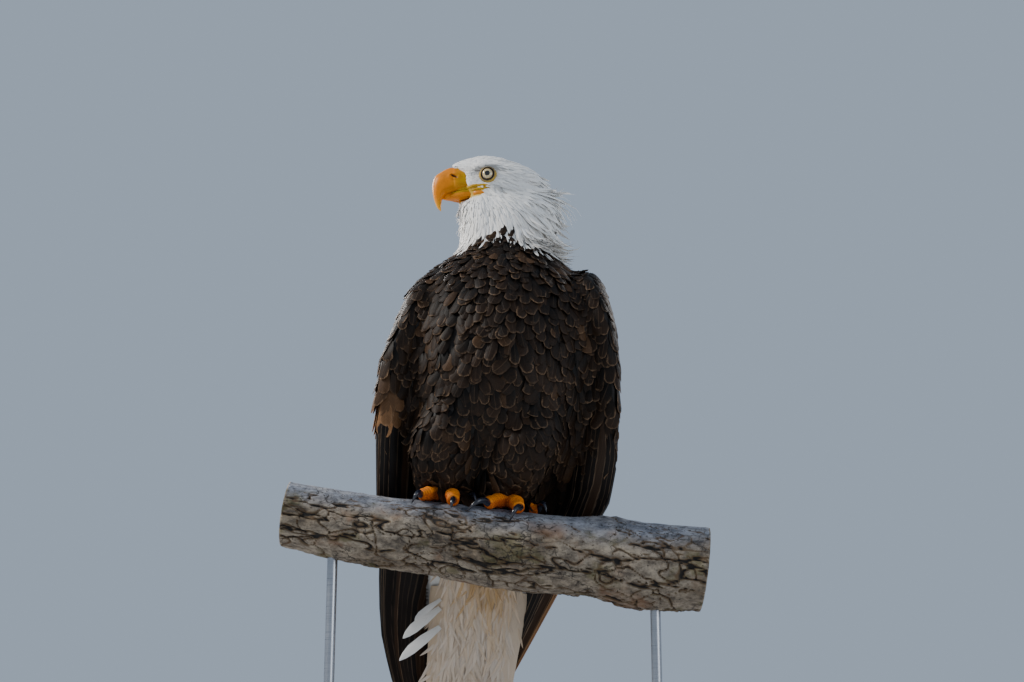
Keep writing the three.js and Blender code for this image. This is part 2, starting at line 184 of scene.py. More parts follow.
# %% Material helpers
class Finish:
    """A material with one Principled shader, and a short way to add and link its nodes."""

    def __init__(self, name, **sockets):
        self.material = bpy.data.materials.new(name)
        self.material.use_nodes = True
        self.tree = self.material.node_tree
        self.shader = self.tree.nodes["Principled BSDF"]
        for socket, value in sockets.items():
            self.shader.inputs[socket.replace("_", " ")].default_value = value

    def add(self, kind, inputs=(), output=0, **settings):
        """Adds a node. inputs is a dict or list of values, or of other nodes' outputs. Returns one output."""
        node = self.tree.nodes.new("ShaderNode" + kind)
        for setting, value in settings.items():
            setattr(node, setting, value)
        pairs = inputs.items() if isinstance(inputs, dict) else enumerate(inputs)
        for socket, value in pairs:
            if isinstance(value, bpy.types.NodeSocket):
                self.tree.links.new(value, node.inputs[socket])
            elif value is not None:
                node.inputs[socket].default_value = value
        return node.outputs[output]

    def maths(self, operation, *inputs, clamp=False):
        return self.add("Math", inputs, operation=operation, use_clamp=clamp)

    def mix(self, amount, first, second, blend="MIX"):
        return self.add("Mix", {0: amount, 6: first, 7: second}, 2, data_type="RGBA", blend_type=blend)

    def ramp(self, value, stops, interpolation="LINEAR"):
        """A colour ramp: stops are (place, colour)."""
        output = self.add("ValToRGB", [value])
        ramp = output.node.color_ramp
        ramp.interpolation = interpolation
        while len(ramp.elements) < len(stops):
            ramp.elements.new(0.5)
        for element, (place, color) in zip(ramp.elements, stops):
            element.position = place
            element.color = color if len(color) == 4 else (*color, 1)
        return output

    def step(self, value, low, high):
        """0 below low, 1 above high, smooth between."""
        return self.add("MapRange", [value, low, high, 0, 1], interpolation_type="SMOOTHSTEP")

    def attribute(self, name, output="Fac"):
        return self.add("Attribute", output=output, attribute_name=name)

    def uv(self, name):
        return self.add("UVMap", uv_map=name)

    def place(self):
        return self.add("TexCoord", output="Object")

    def noise(self, scale, detail=3, at=None, roughness=0.5, output=0):
        return self.add(
            "TexNoise",
            {"Vector": at or self.place(), "Scale": scale, "Detail": detail, "Roughness": roughness},
            output,
        )

    def color(self, output):
        self.tree.links.new(output, self.shader.inputs["Base Color"])

    def roughness(self, output):
        self.tree.links.new(output, self.shader.inputs["Roughness"])

    def bump(self, height, distance, strength=0.6, after=None):
        inputs = {"Height": height, "Distance": distance, "Strength": strength}
        if after is not None:
            inputs["Normal"] = after
        normal = self.add("Bump", inputs)
        self.tree.links.new(normal, self.shader.inputs["Normal"])
        return normal


floor_finish = Finish("pale_floor", Roughness=0.9, Base_Color=linear(206, 208, 210))
floor_finish.color(
    floor_finish.mix(floor_finish.noise(6), linear(204, 206, 208), linear(210, 211, 212))
)
floor.data.materials.append(floor_finish.material)
print("floor finish:", floor_finish.material.name)


# %% Piece helper
def add_piece(name, mesh, material, replaces=(), smooth=True):
    """Puts a mesh, made in place, into the room as a piece of the object."""
    piece = bpy.data.objects.new(name, mesh)
    bpy.context.collection.objects.link(piece)
    if material is not None:
        mesh.materials.append(material)
    if smooth:
        mesh.polygons.foreach_set("use_smooth", np.ones(len(mesh.polygons), bool))
    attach(piece, "root")
    if replaces:
        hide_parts(*replaces)
    mesh.calc_loop_triangles()
    print(f"{name}: {len(mesh.loop_triangles)} triangles")
    return piece


def mesh_points(mesh):
    found = np.empty(len(mesh.vertices) * 3, np.float32)
    mesh.vertices.foreach_get("co", found)
    return found.reshape(-1, 3).astype(float)


def put_points(mesh, points):
    mesh.vertices.foreach_set("co", np.asarray(points, np.float32).ravel())
    mesh.update()


# %% [markdown]
# ## The skin
# Under its feathers a bird is one unbroken skin. The solids of the frame reach out to the feathers' tips, so the
# skin is made from copies of them: joined, melted into one with a voxel remesh, smoothed, and then drawn inwards
# by the plumage's depth, which is 8 mm on the breast and hardly one on the face.

# %% Join and melt the solids
FLESH = ["trunk", "neck", "head", "leg_left", "leg_right", "wing_left", "wing_right", "tail"]
VOXEL = 3.6 * MM
flesh = bmesh.new()
flesh_node = []
# The eyes are melted in as well, so that the skin has no pits where their sockets are.
for name in FLESH + ["eye_left", "eye_right"]:
    copied = bmesh.new()
    copied.from_mesh(frame["nodes"][name].data)
    bmesh.ops.remove_doubles(copied, verts=copied.verts, dist=1e-5)
    merged = bpy.data.meshes.new("merged_" + name)
    copied.to_mesh(merged)
    copied.free()
    flesh.from_mesh(merged)
    flesh_node += [FLESH.index(name if name in FLESH else "head")] * len(merged.polygons)
    bpy.data.meshes.remove(merged)
flesh_tree = BVHTree.FromBMesh(flesh)
flesh_node = np.array(flesh_node)
rough_mesh = bpy.data.meshes.new("rough")
flesh.to_mesh(rough_mesh)
flesh.free()
rough = bpy.data.objects.new("rough", rough_mesh)
bpy.context.collection.objects.link(rough)
melt = rough.modifiers.new("melt", "REMESH")
melt.mode = "VOXEL"
melt.voxel_size = VOXEL
skin_mesh = bpy.data.meshes.new_from_object(rough.evaluated_get(bpy.context.evaluated_depsgraph_get()))
bpy.data.objects.remove(rough)
print("melted skin:", len(skin_mesh.polygons), "faces")


# %% Keep the outside and smooth it
def smooth_values(values, edges, rounds, amount=0.5):
    """Each vertex moves towards the mean of its neighbours."""
    count = np.zeros(len(values))
    np.add.at(count, edges.ravel(), 1)
    shape = (-1,) + (1,) * (values.ndim - 1)
    for _ in range(rounds):
        total = np.zeros_like(values)
        np.add.at(total, edges[:, 0], values[edges[:, 1]])
        np.add.at(total, edges[:, 1], values[edges[:, 0]])
        values = values + amount * (total / np.maximum(count, 1).reshape(shape) - values)
    return values


def largest_shell(mesh):
    """Removes all but the largest connected shell."""
    shells = bmesh.new()
    shells.from_mesh(mesh)
    shells.verts.ensure_lookup_table()
    seen = np.zeros(len(shells.verts), int)
    sizes = [0]
    for start in shells.verts:
        if seen[start.index]:
            continue
        sizes.append(0)
        seen[start.index] = len(sizes) - 1
        waiting = [start]
        while waiting:
            vertex = waiting.pop()
            sizes[-1] += 1
            for edge in vertex.link_edges:
                other = edge.other_vert(vertex)
                if not seen[other.index]:
                    seen[other.index] = len(sizes) - 1
                    waiting.append(other)
    keep = int(np.argmax(sizes))
    crumbs = [vertex for vertex in shells.verts if seen[vertex.index] != keep]
    bmesh.ops.delete(shells, geom=crumbs, context="VERTS")
    shells.to_mesh(mesh)
    shells.free()
    return sizes


def mesh_edges(mesh):
    found = np.empty(len(mesh.edges) * 2, np.int32)
    mesh.edges.foreach_get("vertices", found)
    return found.reshape(-1, 2)


shell_sizes = largest_shell(skin_mesh)
put_points(skin_mesh, smooth_values(mesh_points(skin_mesh), mesh_edges(skin_mesh), 7))
print("shells", sorted(shell_sizes)[-3:], "kept", len(skin_mesh.vertices), "vertices")


# %% Draw the skin in
def node_near(points):
    """Which of the flesh nodes each point is nearest to, as numbers in FLESH."""
    return flesh_node[[flesh_tree.find_nearest(Vector(p))[2] for p in points]]


def mesh_normals(mesh):
    found = np.empty(len(mesh.vertices) * 3, np.float32)
    mesh.vertex_normals.foreach_get("vector", found)
    return found.reshape(-1, 3).astype(float)


PLUMAGE_DEPTH = {"trunk": 8, "neck": 7, "head": 4.5, "leg_left": 6, "leg_right": 6}
PLUMAGE_DEPTH |= {"wing_left": 6, "wing_right": 6, "tail": 5}
FLOOR_SHARE = 0.34  # of the thickness there, so that thin places keep a middle

outer = mesh_points(skin_mesh)
normals = mesh_normals(skin_mesh)
skin_node = node_near(outer)
in_head = into(head_frame, outer)
depth = np.array([PLUMAGE_DEPTH[name] for name in FLESH])[skin_node] * MM
on_head = np.isin(skin_node, [FLESH.index("head")])
face_share = np.clip((-in_head[:, 1] + 25) / 45, 0, 1)  # 0 at the nape, 1 at the bill
depth = np.where(on_head, (5.5 - 4.0 * face_share) * MM, depth)
at_chin = (in_head[:, 1] < -5) & (in_head[:, 2] < -20) & (in_head[:, 2] > -72)
depth = np.where(at_chin, np.minimum(depth, 3 * MM), depth)
outer_tree = BVHTree.FromPolygons([tuple(p) for p in outer], [tuple(f.vertices) for f in skin_mesh.polygons])
room_inside = np.empty(len(outer))
for i, (point, normal) in enumerate(zip(outer, normals)):
    hit = outer_tree.ray_cast(Vector(point - normal * 0.4 * MM), Vector(-normal), 0.3)
    room_inside[i] = hit[3] if hit[3] is not None else 0.3
depth = smooth_values(np.minimum(depth, FLOOR_SHARE * room_inside), mesh_edges(skin_mesh), 6)
put_points(skin_mesh, smooth_values(outer - normals * depth[:, None], mesh_edges(skin_mesh), 2))
print("plumage depth from", round(depth.min() / MM, 1), "to", round(depth.max() / MM, 1), "mm")

# %% [markdown]
# ## The face
# An eagle's stare comes from its bones: a ridge stands out over each eye like the peak of a cap, the eye lies in
# a hollow behind bare lores, and the cheek swells below. The faces of the skin near the bill and eyes are made
# finer first, and then pushed out or in by soft bumps placed in the head's own frame.

# %% Shape the face
def finer_where(mesh, wanted):
    """Subdivides the faces whose middles are wanted."""
    fine = bmesh.new()
    fine.from_mesh(mesh)
    middles = np.array([face.calc_center_median() for face in fine.faces])
    chosen = [face for face, take in zip(list(fine.faces), wanted(middles)) if take]
    edges = {edge for face in chosen for edge in face.edges}
    bmesh.ops.subdivide_edges(fine, edges=list(edges), cuts=1, use_grid_fill=True, smooth=0.0)
    bmesh.ops.triangulate(fine, faces=[face for face in fine.faces if len(face.verts) > 4])
    fine.to_mesh(mesh)
    fine.free()


def near_face(points):
    local = into(head_frame, points)
    return (local[:, 1] < 16) & (local[:, 2] > -40) & (local[:, 1] > -60)


finer_where(skin_mesh, near_face)
EYE_ASIDE, EYE_RADIUS, EYE_TURN = 22.0, 10.8, math.radians(8)
# Soft bumps: distance ahead, height, half lengths ahead and up, slope, and how far they push out or in, in mm.
FACE_BUMPS = [
    ("brow ridge", 2, 11.0, 15, 3.6, 0.06, 4.4),
    ("brow ridge's front", 14, 8.6, 8, 3.2, -0.25, 2.8),
    ("eye hollow", 0, 0, 9, 8, 0, -4.2),
    ("lores", 18, 1.5, 9, 6, 0.1, -2.6),
    ("cheek", -6, -17, 18, 9, 0.1, 2.2),
    ("ear coverts", -28, -6, 14, 12, 0, 1.5),
]


def shape_face(points):
    local = into(head_frame, points)
    ahead_of_eyes, up, aside = -local[:, 1], local[:, 2], local[:, 0]
    outwards = np.zeros(len(points))
    for _, at, height, long, tall, slope, push in FACE_BUMPS:
        along = (ahead_of_eyes - at) / long
        across = (up - height - slope * (ahead_of_eyes - at)) / tall
        outwards += push * np.exp(-(along**2) - across**2)
    sideways = np.clip(np.abs(aside) / 12, 0, 1)
    local[:, 0] += np.sign(aside) * outwards * sideways
    # Where the bill begins, the skin is drawn in under it, and only the forehead's wedge runs on over the bill.
    on_forehead = np.clip((up - 7) / 7, 0, 1)
    draw_in = 1 - 0.36 * np.clip((ahead_of_eyes - 23) / 11, 0, 1) * (1 - 0.75 * on_forehead)
    local[:, 0] *= draw_in
    local[:, 2] = np.where(local[:, 2] < 0, local[:, 2] * (0.35 + 0.65 * draw_in), local[:, 2])
    local[:, 1] -= 8 * np.clip((ahead_of_eyes - 20) / 16, 0, 1) * on_forehead
    return out_of(head_frame, local)


shaped = mesh_points(skin_mesh)
touched = near_face(shaped)
shaped[touched] = shape_face(shaped[touched])
put_points(skin_mesh, shaped)
print("face shaped:", int(touched.sum()), "vertices, skin now", len(skin_mesh.polygons), "faces")

# %% [markdown]
# ## Tubes along a path
# Toes, claws, the bill and the feathers' shafts are all long forms whose section changes on the way. Each starts
# as the same straight tube, made with create_cone and cut across with subdivide_edges. Its points know only how
# far round and how far along they are, and a function of the two then puts them where they belong.

# %% Tube helper
def tube(around, along, caps=True):
    """A straight tube as a mesh, with each point's angle round it and its place along it, from 0 to 1."""
    made = bmesh.new()
    bmesh.ops.create_cone(made, cap_ends=caps, segments=around, radius1=1, radius2=1, depth=1)
    upright = [edge for edge in made.edges if abs(edge.verts[0].co.z - edge.verts[1].co.z) > 0.5]
    if along > 1:
        bmesh.ops.subdivide_edges(made, edges=upright, cuts=along - 1)
    mesh = bpy.data.meshes.new("tube")
    made.to_mesh(mesh)
    made.free()
    points = mesh_points(mesh)
    return mesh, np.arctan2(points[:, 0], points[:, 1]), np.clip(points[:, 2] + 0.5, 0, 1)


def outward(mesh):
    """Turns a closed mesh's faces outwards, after its shape is made."""
    fixed = bmesh.new()
    fixed.from_mesh(mesh)
    bmesh.ops.recalc_face_normals(fixed, faces=fixed.faces)
    fixed.to_mesh(mesh)
    fixed.free()
    return mesh


def joined(name, meshes):
    """Several meshes, made in place, as one."""
    whole = bmesh.new()
    for mesh in meshes:
        whole.from_mesh(mesh)
        bpy.data.meshes.remove(mesh)
    result = bpy.data.meshes.new(name)
    whole.to_mesh(result)
    whole.free()
    return result


def curve_through(stations, places):
    """A smooth curve through stations, read at places from 0 to 1 (Catmull-Rom)."""
    stations = np.asarray(stations, float)
    padded = np.vstack([2 * stations[0] - stations[1], stations, 2 * stations[-1] - stations[-2]])
    scaled = np.clip(places, 0, 1) * (len(stations) - 1)
    first = np.minimum(scaled.astype(int), len(stations) - 2)
    t = (scaled - first)[:, None]
    a, b, c, d = (padded[first + i] for i in range(4))
    return 0.5 * (2 * b + (c - a) * t + (2 * a - 5 * b + 4 * c - d) * t**2 + (3 * b - a - 3 * c + d) * t**3)


test_mesh, _, _ = tube(8, 4)
print("a tube of 8 by 4 has", len(test_mesh.polygons), "faces")
bpy.data.meshes.remove(test_mesh)

# %% [markdown]
# ## Feet
# The toes grip the limb, so they are laid out on it: a place along it and an angle round it from its top. The
# limb's own solid is felt for with a ray. Each toe swells at its joints and has broad scutes on top, like roof
# tiles. The toes, the ball of the foot and the shank are melted together, so that they are one skin.

# %% Feel for the limb
limb_copy = bmesh.new()
limb_copy.from_mesh(frame["nodes"]["perch_limb"].data)
limb_tree = BVHTree.FromBMesh(limb_copy)
limb_copy.free()
LIMB_SAG, LIMB_LENGTH = 6, 490


def limb_middle(along):
    return LIMB_SAG * (2 * np.asarray(along, float) / LIMB_LENGTH) ** 2


def over_limb(along, angle, lift):
    """Points over the limb's surface, in its own frame: mm along it, degrees round it and mm of lift."""
    along, angle, lift = np.broadcast_arrays(along, np.radians(angle), lift)
    middle = np.stack([along, np.zeros_like(along, float), limb_middle(along)], -1)
    away = np.stack([np.zeros_like(along, float), -np.sin(angle), np.cos(angle)], -1)
    start, way = out_of(limb_frame, middle + away * 90), turned(limb_frame, away)
    reach = [90 - limb_tree.ray_cast(Vector(p), Vector(-d))[3] / MM for p, d in zip(start, way)]
    return middle + away * (np.array(reach) + lift)[:, None]


ANKLE_ANGLE, ANKLE_LIFT, ANKLE_RADIUS, SHANK_RADIUS, SHANK_HEIGHT = -14, 12, 13, 9, 34
TOE_TAPER = 0.22
# Toes: where the tip is along the limb from the ankle, its angle, the radius, and the claw's length, how far it
# runs along the limb for each millimetre of it, and how far its point is raised.
FEET = {
    "right": (-60, {
        "outer": (-31, 27, 9.4, 24, -0.3, 3),
        "middle": (8, 35, 9.6, 27, 0, 15),
        "inner": (24, -8, 8.4, 28, 0.35, 0),
        "hind": (4, -56, 8.4, 33, 0, 0),
    }),
    "left": (12, {
        "outer": (34, -8, 8, 25, 0.4, 0),
        "middle": (12, 36, 9.6, 29, -0.3, 0),
        "inner": (-25, 31, 9.4, 33, -0.66, 3),
        "hind": (-4, -56, 8.4, 33, 0, 0),
    }),
}
KNUCKLES = {"outer": 4, "middle": 3, "inner": 2, "hind": 1}
print("limb radius at the feet:", np.round(np.linalg.norm(over_limb([-60, 12], 0, 0)[:, 1:], axis=1), 1))


# %% Make the feet
def path_frames(path):
    """For points along a path: the way ahead, a side, and up away from the limb's middle."""
    ahead_way = unit(np.gradient(path, axis=0))
    middle = np.stack([path[:, 0], np.zeros(len(path)), limb_middle(path[:, 0])], -1)
    up = unit(path - middle)
    side = unit(np.cross(ahead_way, up))
    return side, np.cross(side, ahead_way)


def shape_tube(mesh, angle, t, path, radius_at, squeeze=1.0):
    """Puts a tube's points round a path in the limb's frame."""
    places = np.linspace(0, 1, len(path))
    side, up = path_frames(path)
    at = [np.stack([np.interp(t, places, values[:, i]) for i in range(3)], -1) for values in (path, side, up)]
    radius = radius_at(t, angle)[:, None]
    put = at[0] + radius * (squeeze * np.sin(angle)[:, None] * at[1] + np.cos(angle)[:, None] * at[2])
    put_points(mesh, out_of(limb_frame, put))
    return outward(mesh)


def toe_path(foot_along, toe, count=40):
    tip_along, tip_angle, radius = toe[:3]
    t = np.linspace(0, 1, count)
    angle = ANKLE_ANGLE + (tip_angle - ANKLE_ANGLE) * t
    lift = ANKLE_LIFT + (radius * (1 - TOE_TAPER) - ANKLE_LIFT) * np.minimum(1, 1.3 * t)
    return over_limb(foot_along + tip_along * t, angle, lift)


def make_toe(foot_along, toe, knuckles):
    mesh, angle, t = tube(20, 30)
    radius = toe[2]

    def radius_at(t, angle):
        joints = 1 + 0.09 * np.cos(2 * np.pi * (knuckles * t + 0.5 * (knuckles == 1)))
        tip = np.sqrt(np.clip(1 - np.clip((t - 0.93) / 0.075, 0, 1) ** 2, 0.05, 1))
        return radius * (1 - TOE_TAPER * t) * joints * tip

    return shape_tube(mesh, angle, t, toe_path(foot_along, toe), radius_at)


def make_foot(side):
    foot_along, toes = FEET[side]
    ankle = Vector(over_limb([foot_along], ANKLE_ANGLE, ANKLE_LIFT)[0])
    solid = bmesh.new()
    bmesh.ops.create_uvsphere(solid, u_segments=20, v_segments=12, radius=ANKLE_RADIUS)
    shank = bmesh.ops.create_cone(
        solid, cap_ends=True, segments=20, radius1=SHANK_RADIUS, radius2=SHANK_RADIUS, depth=SHANK_HEIGHT
    )
    bmesh.ops.translate(solid, verts=shank["verts"], vec=(0, 0, SHANK_HEIGHT / 2))
    bmesh.ops.translate(solid, verts=solid.verts, vec=ankle)
    bmesh.ops.scale(solid, verts=solid.verts, vec=(MM, MM, MM))
    bmesh.ops.transform(solid, verts=solid.verts, matrix=limb_frame)
    ball = bpy.data.meshes.new("ball")
    solid.to_mesh(ball)
    solid.free()
    made = [make_toe(foot_along, toe, KNUCKLES[name]) for name, toe in toes.items()]
    whole = bpy.data.objects.new("foot", joined("foot", [ball, *made]))
    bpy.context.collection.objects.link(whole)
    melt = whole.modifiers.new("melt", "REMESH")
    melt.mode = "VOXEL"
    melt.voxel_size = 1.15 * MM
    melted = bpy.data.meshes.new_from_object(whole.evaluated_get(bpy.context.evaluated_depsgraph_get()))
    bpy.data.objects.remove(whole)
    put_points(melted, smooth_values(mesh_points(melted), mesh_edges(melted), 3))
    return melted


def add_scutes(mesh, side):
    """Raises the scutes on the toes' tops, and gives each point's scute mark, from 0 to 1."""
    foot_along, toes = FEET[side]
    paths = [toe_path(foot_along, toe) for toe in toes.values()]
    local = into(limb_frame, mesh_points(mesh))
    best = np.full(len(local), 1e9)
    scute = np.zeros(len(local))
    up_there = np.zeros_like(local)
    for path in paths:
        _, up = path_frames(path)
        lengths = np.concatenate([[0], np.cumsum(np.linalg.norm(np.diff(path, axis=0), axis=1))])
        gaps = np.linalg.norm(local[:, None] - path[None], axis=2)
        nearest = gaps.argmin(axis=1)
        closer = gaps.min(axis=1) < best
        best = np.where(closer, gaps.min(axis=1), best)
        away = unit(local - path[nearest])
        on_top = np.clip((away * up[nearest]).sum(1) * 1.6 - 0.1, 0, 1)
        along = lengths[nearest] + ((local - path[nearest]) * np.gradient(path, axis=0)[nearest]).sum(1)
        wave = 1 - ((along / 3.4) % 1) ** 1.5
        scute = np.where(closer, wave * on_top, scute)
        up_there = np.where(closer[:, None], away, up_there)
    put_points(mesh, out_of(limb_frame, local + up_there * (0.75 * scute * (best > 3.5))[:, None]))
    return scute


feet_meshes, feet_scutes = [], []
for side in FEET:
    foot_mesh = make_foot(side)
    feet_scutes.append(add_scutes(foot_mesh, side))
    feet_meshes.append(foot_mesh)
print("feet:", [len(mesh.polygons) for mesh in feet_meshes], "faces")

# %% [markdown]
# ## Claws
# The talons are long, round on top and narrower below, and curve through nearly a third of a circle to a needle
# point. They are dark horn, almost black, with faint paler streaks.

# %% Make the claws
def claw_path(foot_along, toe, count=30):
    tip_along, tip_angle, radius, length, aside, raised = toe
    reach = np.linalg.norm(over_limb([foot_along], 0, 0)[0, 1:]) + radius
    span = np.sign(tip_angle - ANKLE_ANGLE) * np.degrees(length / reach) * 0.85
    t = np.linspace(-0.12, 1, count)
    angle = tip_angle + span * (1 - 0.5 * abs(aside)) * np.sin(t * np.pi / 2)
    rise = 0.26 * length * np.sin(np.pi * np.maximum(t, 0))
    lift = radius * (0.85 - 0.72 * np.abs(t) ** 1.6) + rise + raised * np.maximum(t, 0) ** 1.3
    return over_limb(foot_along + tip_along + aside * length * t, angle, lift)


def claw_radius(t, angle):
    round_section = 0.35 + 4.9 * (1 - t) ** 0.75
    return round_section * (1 - 0.16 * np.clip(-np.cos(angle), 0, 1))


claw_finish = Finish("claw_horn", Roughness=0.24, Coat_Weight=0.3, Coat_Roughness=0.15)
claw_streaks = claw_finish.noise(180, 4, claw_finish.place())
claw_base = claw_finish.mix(claw_streaks, linear(12, 13, 19), linear(38, 41, 54))
claw_finish.color(claw_base)
claw_finish.bump(claw_finish.noise(420, 3), 0.00015, 0.4)

for side, (foot_along, toes) in FEET.items():
    for name, toe in toes.items():
        claw_mesh, angle, t = tube(16, 22)
        shape_tube(claw_mesh, angle, t, claw_path(foot_along, toe), claw_radius, squeeze=0.86)
        node = f"claw_{side}_{name}"
        add_piece("talon_" + node[5:], claw_mesh, claw_finish.material, [node])

# %% [markdown]
# ## One skin, and its map
# The feet are joined to the skin of the body. The whole skin is then unwrapped, because each feather's colours
# are later kept at the place where it is rooted. Two attributes say what kind of skin each point is.

# %% Join and unwrap the skin
bare_place = np.zeros(len(skin_mesh.vertices))
body_count = len(skin_mesh.vertices)
scutes_all = np.concatenate([np.zeros(body_count), *feet_scutes])
feet_count = [len(mesh.vertices) for mesh in feet_meshes]
skin_mesh = joined("skin", [skin_mesh, *feet_meshes])
skin = add_piece("skin", skin_mesh, None, [*FLESH, "foot_left", "foot_right"])
skin_mesh.uv_layers.new(name="OFBake")
bpy.context.view_layer.objects.active = skin
skin.select_set(True)
bpy.ops.object.mode_set(mode="EDIT")
bpy.ops.mesh.select_all(action="SELECT")
bpy.ops.uv.smart_project(angle_limit=math.radians(66), island_margin=0.001)
bpy.ops.object.mode_set(mode="OBJECT")
print("skin unwrapped:", len(skin_mesh.uv_layers["OFBake"].data), "corners")

# %% [markdown]
# ## Where the plumage changes
# The white hood ends in a ragged edge that is highest at the middle of the breast and hangs lower at the sides.
# The tail and its coverts are white too. On the face, the bill's base, the lips of the gape and a ring round each
# eye are bare. The same few functions tell the skin and the feathers which is which, so they always agree.

# %% Hood, face and colours
HOOD_ANGLES = [-180, -112, -84, -62, -37, 1, 40, 75, 100, 180]  # round the neck from the middle of the breast
HOOD_HEIGHTS = [346, 336, 322, 338, 352, 364, 341, 350, 352, 346]


def hood_line(points):
    """Height of the hood's lower edge over each point, in the bird's frame."""
    local = into(bird_frame, points)
    around = np.degrees(np.arctan2(local[:, 0] + 5, 13 - local[:, 1]))
    return np.interp(around, HOOD_ANGLES, HOOD_HEIGHTS)


BARE_UP = [-34, -28, -26, -22.5, -20.5, -18.6, -17.8, -15.3, -12.7, -10.4, -9.2, -6.2, 1.2, 9.2, 13.5, 15.5, 22]
BARE_AHEAD = [60, 30, 9, 6, 7, 4, 1, -8.3, 0.5, 11, 22, 27, 28.8, 33, 37, 60, 60]


def bare_face(points):
    """True on the bill's base, the gape and the ring of bare skin round the eye."""
    local = into(head_frame, points)
    from_eye = np.hypot(local[:, 1] * 0.9, (local[:, 2] - 0.6) * 1.12)
    in_bill = -local[:, 1] > np.interp(local[:, 2], BARE_UP, BARE_AHEAD)
    at_head = (np.abs(local) < (34, 70, 34)).all(axis=1)
    return at_head & (in_bill | ((from_eye < 8.5) & (np.abs(local[:, 0]) > 12)))


# Grey marks on the face, partly grey lores and dark skin, partly painted shade under the brow ridge over each eye:
# distance ahead, height, half lengths, and strength.
GREY_AND_BROW_SHADE_MARKS = [(14, 7.4, 6.5, 1.9, 0.85), (-11, 8.2, 5, 1.8, 0.75), (18, 0.5, 9, 7, 0.3), (-13, -13.8, 9, 1.5, 0.7)]
GREY_AND_BROW_SHADE_MARKS += [(2, 11.4, 10, 1.9, 0.8), (-26, 2, 12, 1.7, 0.2), (-44, -6, 7, 1.5, 0.4), (12, -19.8, 8, 1.4, 0.35)]
GREY_AND_BROW_SHADE_MARKS += [(0, -11.5, 9, 1.6, 0.45), (24, 10.5, 7, 2.2, 0.3)]


def grey_and_brow_shade(points):
    local = into(head_frame, points)
    total = np.zeros(len(points))
    for at, height, long, tall, strength in GREY_AND_BROW_SHADE_MARKS:
        total += strength * np.exp(-(((-local[:, 1] - at) / long) ** 2) - ((local[:, 2] - height) / tall) ** 2)
    return np.clip(total, 0, 1)


def white_share(points, nodes, hang=0.0):
    """1 where a feather rooted there is white. hang is how far its tip hangs below its root, in mm."""
    local = into(bird_frame, points)
    hooded = local[:, 2] > hood_line(points) + hang
    node_names = np.array(FLESH)[nodes]
    upper = np.isin(node_names, ["trunk", "neck"])
    vent = (node_names == "trunk") & (local[:, 2] < 34) & (local[:, 1] > 78)
    return (((node_names == "head") | (upper & hooded)) | (node_names == "tail") | vent).astype(float)


def painted_sunlight_share(points):
    """Painted sunlight: the coverts at the bird's right wrist are painted a warm, sunlit brown."""
    local = into(bird_frame, points)
    wrist = np.clip((-local[:, 0] - 108) / 20, 0, 1) * np.exp(-(((local[:, 2] - 152) / 30) ** 2))
    return wrist * np.clip((70 - local[:, 1]) / 60, 0, 1)


# %% Mark the skin
skin_points = mesh_points(skin_mesh)
is_foot = np.arange(len(skin_points)) >= body_count
skin_nodes = node_near(skin_points)
skin_white = smooth_values(white_share(skin_points, skin_nodes, hang=8), mesh_edges(skin_mesh), 2)
for name, values in {
    "white": np.where(is_foot, 0, skin_white),
    "foot": is_foot.astype(float),
    "scute": scutes_all,
    "face": (bare_face(skin_points) & ~is_foot).astype(float),
    "grey": grey_and_brow_shade(skin_points),
}.items():
    layer = skin_mesh.attributes.new(name, "FLOAT", "POINT")
    layer.data.foreach_set("value", values.astype(np.float32))

skin_finish = Finish("skin_under_plumage", Roughness=0.62, Specular_IOR_Level=0.3)
dark_down = skin_finish.mix(skin_finish.noise(90, 4), linear(8, 6, 5), linear(24, 17, 13))
white_down = skin_finish.mix(skin_finish.noise(120, 3), linear(222, 222, 220), linear(244, 244, 240))
# The grey attribute darkens the white down: grey skin, and painted shade under the brow ridge.
white_down = skin_finish.mix(skin_finish.attribute("grey"), white_down, linear(112, 112, 112))
plumage_color = skin_finish.mix(skin_finish.attribute("white"), dark_down, white_down)
face_color = skin_finish.mix(skin_finish.noise(160, 3), linear(176, 138, 44), linear(214, 176, 70))
plumage_color = skin_finish.mix(skin_finish.attribute("face"), plumage_color, face_color)
granules = skin_finish.add("TexVoronoi", {"Vector": skin_finish.place(), "Scale": 620}, feature="DISTANCE_TO_EDGE")
creases = skin_finish.step(granules, 0.0, 0.22)
foot_color = skin_finish.mix(skin_finish.noise(70, 4), linear(196, 84, 2), linear(228, 122, 10))
foot_color = skin_finish.mix(creases, linear(150, 62, 4), foot_color)
foot_color = skin_finish.mix(skin_finish.step(skin_finish.attribute("scute"), 0.1, 0.7), foot_color, linear(232, 132, 22))
skin_finish.color(skin_finish.mix(skin_finish.attribute("foot"), plumage_color, foot_color))
skin_finish.bump(skin_finish.maths("MULTIPLY", creases, skin_finish.attribute("foot")), 0.0004, 0.8)
skin_mesh.materials.append(skin_finish.material)
print("skin marked:", round(float(skin_white.mean()), 2), "of it white")

# %% [markdown]
# ## Vanes
# A feather here is a thin closed vane, made once as a tube with a few dozen faces and pressed into a lens. Its
# rows are spaced to give the outline its shape: a body feather ends round, a hackle ends in a point. Copies are
# joined as arrays, because some eight thousand separate objects would be slow to make and to keep.

